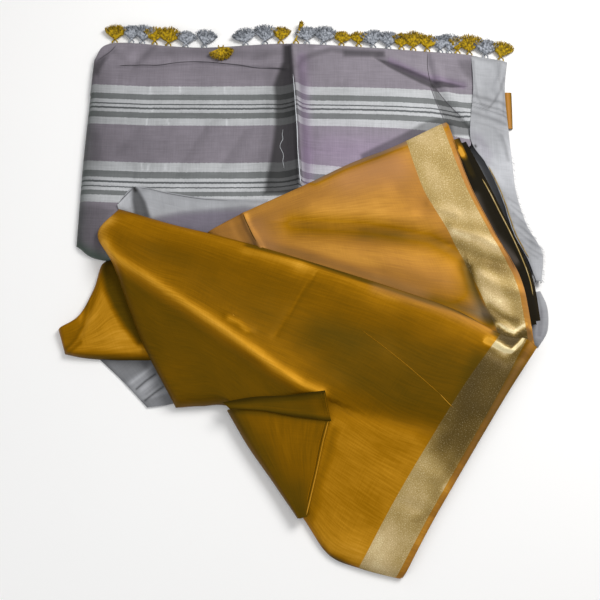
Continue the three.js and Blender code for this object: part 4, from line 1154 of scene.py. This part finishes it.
layering = {
    "floor": 0.2, "points": 420,
    "under": 0.5,  # how far the layers keep under the cloth over them
    "edge": [(0.06, 1.5), (0.3, 0.35), (0.5, 0), (0.7, 0.35), (0.94, 1.5)],  # share of the height, tucked in by
    "waveSize": 60, "nextWave": 300,  # each layer's rim wanders on its own
    "lidInset": 9, "coreInset": 12, "coreHeight": 1.5,  # the lid, hidden under the cloth
}
palluLayers = {
    "outline": [
        (-270, 384), (-145, 377), (-13, 382), (145, 374), (247, 364), (294, 352), (290, 318), (289, 279),
        (290, 248), (295, 217), (296, 172), (303, 125), (319, 90), (325, 67), (321, 26), (268, -10), (134, -8),
        (-67, 13), (-203, 34), (-268, 58), (-297, 75), (-300, 120), (-299, 180), (-297, 279), (-294, 345),
    ],
    # painted shade, darker than the cloth over them
    "layers": 5, "thickness": 1.9, "inset": 1.5, "seed": 5, "shade": 0.55,
}
bodyLayers = {
    "outline": [
        (-107, 84), (-60, 105), (14, 138), (104, 184), (188, 222), (208, 186), (232, 120), (262, 62),
        (283, 5), (286, -57), (256, -113), (206, -189), (151, -277), (112, -335), (62, -326), (28, -280),
        (-34, -199), (-78, -144), (-140, -130), (-172, -97), (-196, -50), (-218, 12), (-234, 62), (-234, 96),
        (-178, 92),
    ],
    # nearly black: painted shadow for where they show in the open gap
    "layers": 9, "thickness": 2.0, "inset": 2, "seed": 6, "shade": 0.1,
}


def roofAbove(x, y):  # how high the layers may reach under the lowest cloth over a plan point
    heights = [plumb(tree, x, y, -10.0, 1) for tree in covers]
    return min((z for z in heights if z is not None), default=99.0) - layering["under"]


def addHeap(name, heap, material, slot, node):
    count = layering["points"]
    outline = np.array(heap["outline"], float)
    looped = np.concatenate([outline[-1:], outline, outline[:2]])
    rim = curveThrough(looped, np.linspace(1, len(outline) + 1, count, endpoint=False))
    tangent = np.roll(rim, -1, 0) - np.roll(rim, 1, 0)
    tangent /= np.linalg.norm(tangent, axis=1, keepdims=True)
    inward = np.stack([-tangent[:, 1], tangent[:, 0]], -1)
    if (inward * (rim.mean(0) - rim)).sum() < 0:
        inward = -inward
    roof = np.array([roofAbove(*point) for point in rim + 2 * inward])
    rings = []
    for k in range(heap["layers"]):
        waves = softNoise(rim[:, 0] + layering["nextWave"] * k, rim[:, 1], layering["waveSize"], heap["seed"])
        wander = heap["inset"] * (0.8 + waves)
        for share, tucked in layering["edge"]:
            z = np.minimum(layering["floor"] + heap["thickness"] * (k + share), roof)
            rings.append(np.column_stack([rim + inward * (wander + tucked)[:, None], z]))
    rings.append(np.column_stack([rim + inward * layering["lidInset"], np.minimum(rings[-1][:, 2], roof)]))
    rings.append(np.column_stack([rim + inward * layering["coreInset"], np.full(count, layering["coreHeight"])]))
    faces = [tuple(range(count))[::-1], tuple(range((len(rings) - 1) * count, len(rings) * count))]
    for k in range(len(rings) - 1):
        for i in range(count):
            j = (i + 1) % count
            faces.append((k * count + i, k * count + j, (k + 1) * count + j, (k + 1) * count + i))
    if (rim[:, 0] * np.roll(rim[:, 1], -1) - rim[:, 1] * np.roll(rim[:, 0], -1)).sum() < 0:
        faces = [face[::-1] for face in faces]
    points = np.concatenate(rings)
    uv = np.column_stack([np.tile(np.arange(count) * 4.5, len(rings)), points[:, 2] * 2])
    declare(meshObject(name, points, faces, material, uv, plainShade(points, heap["shade"])), slot, node)


addHeap("palluLayers", palluLayers, paleGrey, "grey_cloth", "pallu_stack")
addHeap("bodyLayers", bodyLayers, mustardSilk, "mustard_silk", "body_core")
print("hidden layers made")


def roundCord(points, radii, sides=6):  # a closed cord of changing thickness through points
    points = np.array(points, float)
    tangent = np.gradient(points, axis=0)
    tangent /= np.linalg.norm(tangent, axis=1, keepdims=True)
    sideways = np.cross(tangent, (0, 0, 1.0)) + 1e-9
    sideways /= np.linalg.norm(sideways, axis=1, keepdims=True)
    up = np.cross(sideways, tangent)
    angle = np.arange(sides) / sides * 2 * math.pi
    rings = [p + r * (np.outer(np.cos(angle), s) + np.outer(np.sin(angle), t))
             for p, r, s, t in zip(points, radii, sideways, up)]
    faces = [tuple(range(sides)), tuple(range((len(rings) - 1) * sides, len(rings) * sides))[::-1]]
    for k in range(0, (len(rings) - 1) * sides, sides):
        for i in range(sides):
            j = (i + 1) % sides
            faces.append((k + sides + i, k + sides + j, k + j, k + i))
    return np.concatenate(rings), faces


def joinParts(parts):
    points, faces, offset = [], [], 0
    for some, those in parts:
        points.append(some)
        faces += [tuple(offset + i for i in face) for face in those]
        offset += len(some)
    return np.concatenate(points), faces


# Fine lines on the cloth as thin cords half sunk in it: hems, gold threads and a loose thread, with dark cords
# as painted shadow in narrow creases and along fold edges, and pale cords as painted highlight on crease crests
# and hem edges.
# Each group: its name, the piece that it lies on, its finish, slot and node, then (radius, shade, path).
lines = [
    ("palluPaleLines", "palluPanel", paleGrey, "grey_cloth", "pallu_panel",
     # painted highlight along the crease's crest, then a loose thread
     (0.5, 1.9, (-10, 330), (-8, 306), (-6, 275), (-4, 244), (-3, 214), (-1, 184), (1, 162)),
     (0.3, 1.5, (-24, 247), (-25, 238), (-24, 232), (-27, 225), (-28, 219), (-25, 213), (-23, 206), (-24, 199),
      (-23, 193), (-22, 187))),
    ("palluDarkLines", "palluPanel", stripedCloth, "grey_cloth", "pallu_panel",
     # painted shadow in the tuck's line, the creases and the corner's fold
     (0.55, 0.3, (-258, 344), (-229, 345), (-201, 345), (-172, 349), (-143, 350), (-115, 348), (-86, 345),
      (-57, 341), (-21, 341)),
     (0.45, 0.35, (184, 366), (183, 345), (184, 331), (188, 319), (199, 301), (212, 283), (226, 267)),
     (0.6, 0.4, (-291, 353), (-283, 360), (-273, 368), (-264, 379)),
     (0.45, 0.45, (-8, 324), (-5, 295), (-3, 262), (-1, 229), (1, 199), (3, 168)),
     (0.4, 0.45, (184, 318), (191, 294), (198, 273), (206, 252))),
    ("turnbackLines", "palluTurnback", paleGrey, "pale_grey_cloth", "pallu_turnback",
     # painted shadow along the turnback's folded edges
     (0.6, 0.25, (-229, 156.5), (-240, 144), (-250, 132.5)),
     (0.45, 0.4, (-222, 157), (-205, 154), (-186, 149.5), (-158, 144), (-131, 140), (-100, 138.5))),
    ("upperLines", "upperPanel", mustardSilk, "mustard_silk", "body_upper_panel",
     # painted shadow in the crease
     (0.6, 0.2, (-78, 117), (-74, 106), (-69, 95), (-64, 84), (-59, 75))),
    ("frontLines", "frontPanel", mustardSilk, "mustard_silk", "body_front_panel",
     # painted highlight along a fine crease and on the small bump
     (0.3, 0.72, (82, -48), (100, -62), (120, -78), (150, -104), (180, -131)),
     (0.4, 0.98, (180, -131), (190, -142), (197, -149)),
     (0.8, 0.95, (-88, -28), (-86, -30))),
    ("tuckLines", "frontTuck", mustardSilk, "mustard_silk", "front_tuck",
     # the tuck's hem, painted lighter as a highlight on its edges
     (0.55, 0.62, (31, -131.5), (34, -148), (37.5, -164)),
     (0.35, 0.5, (27, -131.5), (30, -148), (33.5, -164))),
    ("foldLines", "cornerFold", mustardSilk, "mustard_silk", "corner_fold",
     # the fold's hem: painted highlight on its two folded edges, painted shadow between them
     (0.9, 1.0, (36.5, -166), (31, -186), (27, -203), (22, -226), (17.5, -245), (12, -268), (8, -284)),
     (0.45, 0.3, (33.5, -168), (28.5, -186), (24.5, -203), (19.8, -226), (15.4, -245), (10, -268)),
     (0.5, 0.72, (31.5, -168), (26.5, -186), (22.5, -203), (18, -226), (13.6, -245), (8.4, -268))),
    ("gapThread", "gapLeafLow", zariBorder, "mustard_silk", "gap_leaf_low",
     (0.9, 0.74, (252, 170), (263, 146), (273, 122), (283, 99), (293, 74), (302, 48), (308, 26), (311, 2))),
    ("sideThread", "palluSide", zariBorder, "pale_grey_cloth", "pallu_side_panel",
     (0.9, 0.62, (262, 190), (271, 168), (279, 147), (286, 120), (293, 94), (301, 75), (310, 56))),
]


def layCord(tree, path, radius, spacing=3.0):  # a cord along a plan path on a piece, ends thinned
    path = np.array(path, float)
    count = max(4, int(np.hypot(*np.diff(path, axis=0).T).sum() / spacing))
    plan = curveThrough(path, np.linspace(0, len(path) - 1, count))
    heights = [plumb(tree, *point, 90.0, -1) for point in plan]
    known = [(k, z) for k, z in enumerate(heights) if z is not None]
    z = np.interp(np.arange(count), *zip(*known))
    ends = np.minimum(1, 0.25 + np.minimum(np.arange(count), np.arange(count)[::-1]) / 3)
    return roundCord(np.column_stack([plan, z + radius * 0.15]), radius * ends, 5)


for name, under, finish, slot, node, *cords in lines:
    tree = surfaceOf(pieces[under])
    parts, shades = [], []
    for radius, shade, *path in cords:
        parts.append(layCord(tree, path, radius))
        shades += [shade] * len(parts[-1][0])
    points, faces = joinParts(parts)
    uv = points[:, :2] * (1, 0) + (0, 60)  # along the cord, in the stripes' plain ground
    declare(meshObject(name, points, faces, finish, uv, plainShade(points, shades)), slot, node)

# Frayed hairs along the right-hand edge: they turn a little, bend a little and droop towards the floor
frays = {
    "seed": 9, "count": 120, "long": (1.5, 5), "turn": (-0.9, 0.5), "bend": (-0.8, 0.8), "droop": (0, 3),
    "radius": 0.16, "shade": 1.1, "height": 8, "tipHeight": 7,
    "edge": [(296, 240), (297, 199), (300, 152), (304, 128), (312, 102), (322, 84), (330, 65), (328, 40),
             (326, 22)],
}
chance = np.random.default_rng(frays["seed"])
steps = np.linspace(-0.3, 1, 4)[:, None]
parts = []
for _ in range(frays["count"]):
    spot = curveThrough(frays["edge"], np.array([chance.uniform(0.6, len(frays["edge"]) - 1.01)]))[0]
    turn, reach, bend = (chance.uniform(*frays[key]) for key in ("turn", "long", "bend"))
    across = np.array([math.cos(turn), math.sin(turn)])
    run = spot + steps * reach * across + steps ** 2 * bend * np.array([-across[1], across[0]])
    z = np.linspace(frays["height"], frays["tipHeight"] - chance.uniform(*frays["droop"]), 4)
    parts.append(roundCord(np.column_stack([run, z]), [frays["radius"]] * 4, 3))
points, faces = joinParts(parts)
hairs = meshObject("frayedHairs", points, faces, paleGrey, points[:, :2], plainShade(points, frays["shade"]))
declare(hairs, "pale_grey_cloth", "pallu_side_panel")
print("lines and hairs made")

# Tassels: threads that fan out from a knot, tied to the cloth by two legs
tassels = {
    # for the tree: radius and curl in metres, and how far threads are lifted, in radians
    "threads": 150, "radius": 0.00042, "curl": 0.0013, "lift": 0.2, "seed": 40,
    "leg": 7.5, "legApart": 3.4, "legBow": 3.6, "legRadii": [0.8, 1.1, 1], "legIn": 1.5,
    "knotHeight": 4.2, "knot": [(-2.2, 0.5), (-1.2, 2.0), (0.4, 2.1), (3, 0.6)],  # along the tassel, radius
    "clear": 0.4, "bendBack": 0.3,  # threads under this height are bent back up
    "locks": 9, "lockRadii": [0.8, 1.5, 2.2, 2.7, 2.9, 2.5, 1.2], "thinLocks": 0.45, "thinFan": 20,
    "lockTurn": (-0.08, 0.08), "lockReach": (0.84, 0.93), "lockSway": (-1.5, 1.5), "lockHeight": (-0.6, 0.8),
    # the one that lies on the cloth, its fan towards the front
    "folded": {"index": 7, "knotIn": 6, "height": 2.4, "clear": 1.0, "turn": 0.2, "legIn": 1.0},
    "dyes": {"m": (mustardThread, "mustard_thread"), "g": (greyThread, "grey_thread")},
    "places": [  # across, colour, half fan in degrees, length, lean in degrees
        (-269, "m", 50, 23, 4), (-245, "g", 44, 22, 0), (-229, "g", 46, 24, 10), (-211, "m", 44, 22, -6),
        (-191, "m", 52, 24, 4), (-166, "g", 56, 20, 6), (-139, "g", 50, 23, 14), (-114, "m", 74, 20, 0),
        (-79, "g", 60, 22, -12), (-51, "g", 46, 25, 4), (-28, "m", 48, 21, 4), (-6, "m", 4, 30, 18),
        (10, "g", 52, 22, -4), (34, "g", 54, 24, 8), (60, "m", 54, 17, 6), (85, "m", 44, 18, 0),
        (106, "g", 54, 23, -8), (128, "g", 50, 22, 6), (147, "m", 46, 20, 0), (164, "m", 52, 25, 0),
        (184, "m", 48, 21, 8), (203, "g", 46, 21, 0), (216, "g", 46, 25, 14), (228, "m", 40, 21, -4),
        (245, "m", 50, 27, 4), (268, "g", 58, 23, 4), (290, "m", 48, 24, 16),
    ],
}

fringeLine = curveThrough(fringedEdge, np.linspace(0, len(fringedEdge) - 1, 400))
fringeLine = fringeLine[np.argsort(fringeLine[:, 0])]


def edgeDepth(x):  # how far back the fringed edge is at x
    return float(np.interp(x, fringeLine[:, 0], fringeLine[:, 1]))


def tasselTree():
    tree = bpy.data.node_groups.new("tasselThreads", "GeometryNodeTree")
    tree.interface.new_socket("Geometry", in_out="OUTPUT", socket_type="NodeSocketGeometry")
    sockets = {"Knot": "Vector", "Facing": "Float", "Fan": "Float", "Length": "Float", "Threads": "Int",
               "Radius": "Float", "Curl": "Float", "Lift": "Float", "Seed": "Int", "Finish": "Material"}
    for label, kind in sockets.items():
        tree.interface.new_socket(label, in_out="INPUT", socket_type="NodeSocket" + kind)
    given = tree.nodes.new("NodeGroupInput")

    def value(label):
        return Wire(tree, given.outputs[label])

    def node(kind, settings, inputs, output=0):
        return addNode(tree, kind, settings, inputs, output)

    def randomValue(low, high, offset):
        return node("FunctionNodeRandomValue", {"data_type": "FLOAT"},
                    {2: low, 3: high, "Seed": value("Seed") + offset}, 1)

    # straight threads from the knot, turned within the fan and lifted a little
    dots = node("GeometryNodeMeshLine", {"mode": "OFFSET"},
                {"Count": value("Threads"), "Start Location": value("Knot"), "Offset": (0, 0, 0)})
    line = node("GeometryNodeCurvePrimitiveLine", {"mode": "POINTS"}, {"Start": (0, 0, 0), "End": (0, 1, 0)})
    thread = node("GeometryNodeResampleCurve", {}, {"Curve": line, "Count": 8})
    fan = value("Fan")
    turn = value("Facing") + randomValue(0 - fan, fan, 1)
    tilt = randomValue(value("Lift") * -0.5, value("Lift"), 2)
    angles = node("ShaderNodeCombineXYZ", {}, {0: tilt, 1: 0.0, 2: turn})
    reach = value("Length") * randomValue(0.9, 0.98, 3)
    placed = node("GeometryNodeInstanceOnPoints", {},
                  {"Points": dots, "Instance": thread, "Rotation": angles, "Scale": reach})
    real = node("GeometryNodeRealizeInstances", {}, {0: placed})

    # each thread, eight points long, curls its own way, more towards its end
    along = node("GeometryNodeSplineParameter", {}, {}, "Factor")
    spot = node("GeometryNodeInputPosition", {}, {})
    index = node("GeometryNodeInputIndex", {}, {})
    which = node("ShaderNodeMath", {"operation": "FLOOR"}, {0: index * 0.125})
    apart = node("ShaderNodeCombineXYZ", {}, {0: which * 0.37, 1: which * 0.11, 2: value("Seed")})
    sample = node("ShaderNodeVectorMath", {"operation": "ADD"}, {0: spot, 1: apart})
    noise = node("ShaderNodeTexNoise", {}, {"Vector": sample, "Scale": 90.0, "Detail": 0.0}, "Color")
    centred = node("ShaderNodeVectorMath", {"operation": "SUBTRACT"}, {0: noise, 1: (0.5, 0.5, 0.42)})
    spread = node("ShaderNodeMath", {"operation": "POWER"}, {0: along, 1: 0.8})
    amount = spread * value("Curl") * 4
    push = node("ShaderNodeVectorMath", {"operation": "SCALE"}, {0: centred, "Scale": amount})
    curled = node("GeometryNodeSetPosition", {}, {"Geometry": real, "Offset": push})

    ring = node("GeometryNodeCurvePrimitiveCircle", {"mode": "RADIUS"},
                {"Resolution": 3, "Radius": value("Radius")})
    solid = node("GeometryNodeCurveToMesh", {}, {"Curve": curled, "Profile Curve": ring, "Fill Caps": True})
    whole = node("GeometryNodeRealizeInstances", {}, {0: solid})
    finished = node("GeometryNodeSetMaterial", {}, {"Geometry": whole, "Material": value("Finish")})
    tree.links.new(finished.socket, tree.nodes.new("NodeGroupOutput").inputs[0])
    return tree


threadTree = tasselTree()


def growThreads(name, inputs):  # runs the tree on an empty mesh and keeps the plain result
    holder = addObject(name + "Source", bpy.data.meshes.new(name + "Source"))
    modifier = holder.modifiers.new("threads", "NODES")
    modifier.node_group = threadTree
    for item in threadTree.interface.items_tree:
        if item.in_out == "INPUT":
            modifier[item.identifier] = inputs[item.name]
    bpy.context.view_layer.update()
    mesh = bpy.data.meshes.new_from_object(holder.evaluated_get(bpy.context.evaluated_depsgraph_get()))
    bpy.data.objects.remove(holder)
    return mesh


for index, (x, dye, fan, reach, lean) in enumerate(tassels["places"]):
    node = f"tassel_{index + 1:02d}"
    number = node[-2:]
    finish, slot = tassels["dyes"][dye]
    height, clear, legIn = tassels["knotHeight"], tassels["clear"], tassels["legIn"]
    facing, outward, ahead = -math.radians(lean), 1, tassels["leg"]
    if index == tassels["folded"]["index"]:
        height = drawing["palluHeight"] + tassels["folded"]["height"]
        clear = drawing["palluHeight"] + tassels["folded"]["clear"]
        legIn = tassels["folded"]["legIn"]
        facing, outward, ahead = math.pi + tassels["folded"]["turn"], -1, -tassels["folded"]["knotIn"]
    knotX, knotY = x, edgeDepth(x) + ahead
    mesh = growThreads(node, {
        "Knot": tuple(place(np.array([knotX, knotY, height]))), "Facing": facing, "Fan": math.radians(fan),
        "Length": reach * drawing["unit"], "Threads": tassels["threads"], "Radius": tassels["radius"],
        "Curl": tassels["curl"], "Lift": tassels["lift"], "Seed": tassels["seed"] + index, "Finish": finish})
    co = np.array([v.co for v in mesh.vertices])
    low = clear * drawing["unit"]
    co[:, 2] = np.where(co[:, 2] < low, low + (low - co[:, 2]) * tassels["bendBack"], co[:, 2])
    mesh.vertices.foreach_set("co", co.astype(np.float32).ravel())
    mesh.update()

    # thicker locks under the threads, the knot and its legs
    chance = np.random.default_rng(tassels["seed"] + index)
    radii = np.array(tassels["lockRadii"]) * (tassels["thinLocks"] if fan < tassels["thinFan"] else 1)
    parts = []
    for share in np.linspace(-1, 1, tassels["locks"]):
        turn = facing + math.pi / 2 + math.radians(fan) * (share * 0.92 + chance.uniform(*tassels["lockTurn"]))
        far = reach * chance.uniform(*tassels["lockReach"])
        along = np.linspace(0, far, len(radii))
        sway = chance.uniform(*tassels["lockSway"]) * (along / far) ** 2
        cosine, sine = math.cos(turn), math.sin(turn)
        run = [(knotX + a * cosine - b * sine, knotY + a * sine + b * cosine,
                height + chance.uniform(*tassels["lockHeight"])) for a, b in zip(along, sway)]
        parts.append(roundCord(run, radii, 7))
    parts.append(roundCord([(knotX, knotY + spot * outward, height) for spot, _ in tassels["knot"]],
                           [radius for _, radius in tassels["knot"]], 8))
    for way in (-1, 1):
        rootX = x + tassels["legApart"] * way
        rootY = edgeDepth(rootX) - legIn
        parts.append(roundCord([(rootX, rootY, height - 0.2),
                                (x + tassels["legBow"] * way, 0.5 * (rootY + knotY), height + 0.3),
                                (knotX + 0.4 * way, knotY - 0.6 * outward, height)], tassels["legRadii"]))
    bundle = addObject("threads" + number, mesh)
    tie = meshObject("tie" + number, *joinParts(parts), finish)
    for piece in (bundle, tie):
        declare(piece, slot, node)
print("tassels made")

# Stage: a pale floor, the camera at the photograph's angle, a soft key from the upper right, fill and sky
view = {"distance": 1.272, "elevation": 75, "focal": 942, "frame": 600, "sensor": 36}  # focal, frame in pixels
lights = {  # place, size, power, colour
    "key": ((1.0, 0.9, 1.4), 0.9, 28.5, (1, 0.985, 0.96)),
    "fill": ((-1.3, -1.1, 1.5), 1.6, 11, (0.98, 0.99, 1)),
    "overhead": ((0, 0.1, 2.0), 1.6, 4, (1, 1, 1)),
}
sky = {"colour": (1, 1, 1, 1), "strength": 0.32}


def floorColour(tree):
    grain = spotNoise(tree, 3.0, 2.0)
    return {"Base Color": mixColours(tree, grain, linear(251, 251, 251), linear(254, 254, 254))}


floorMesh = bpy.data.meshes.new("floor")
floorMesh.from_pydata([(-4, -4, 0), (4, -4, 0), (4, 4, 0), (-4, 4, 0)], [], [(0, 1, 2, 3)])
floorMesh.materials.append(newFinish("paleFloor", floorColour, {"Roughness": 0.9}))
floor = addObject("floor", floorMesh)

camera = addObject("camera", bpy.data.cameras.new("camera"))
slope = math.radians(view["elevation"])
centre = Vector((*drawing["shift"], 0)) * drawing["unit"]
camera.location = centre + Vector((0, -view["distance"] * math.cos(slope), view["distance"] * math.sin(slope)))
camera.rotation_euler = (math.pi / 2 - slope, 0, 0)
camera.data.sensor_width = view["sensor"]
camera.data.lens = view["sensor"] * view["focal"] / view["frame"]
bpy.context.scene.camera = camera

for name, (spot, size, power, colour) in lights.items():
    lamp = bpy.data.lights.new(name, "AREA")
    lamp.shape, lamp.size, lamp.energy, lamp.color = "DISK", size, power, colour
    made = addObject(name, lamp)
    made.location = spot
    made.rotation_euler = (-Vector(spot)).to_track_quat("-Z", "Y").to_euler()

world = bpy.data.worlds.new("sky")
world.use_nodes = True
world.node_tree.nodes["Background"].inputs[0].default_value = sky["colour"]
world.node_tree.nodes["Background"].inputs[1].default_value = sky["strength"]
bpy.context.scene.world = world
bpy.context.scene.view_settings.view_transform = "Standard"  # colours as the shaders give them
print("stage made")
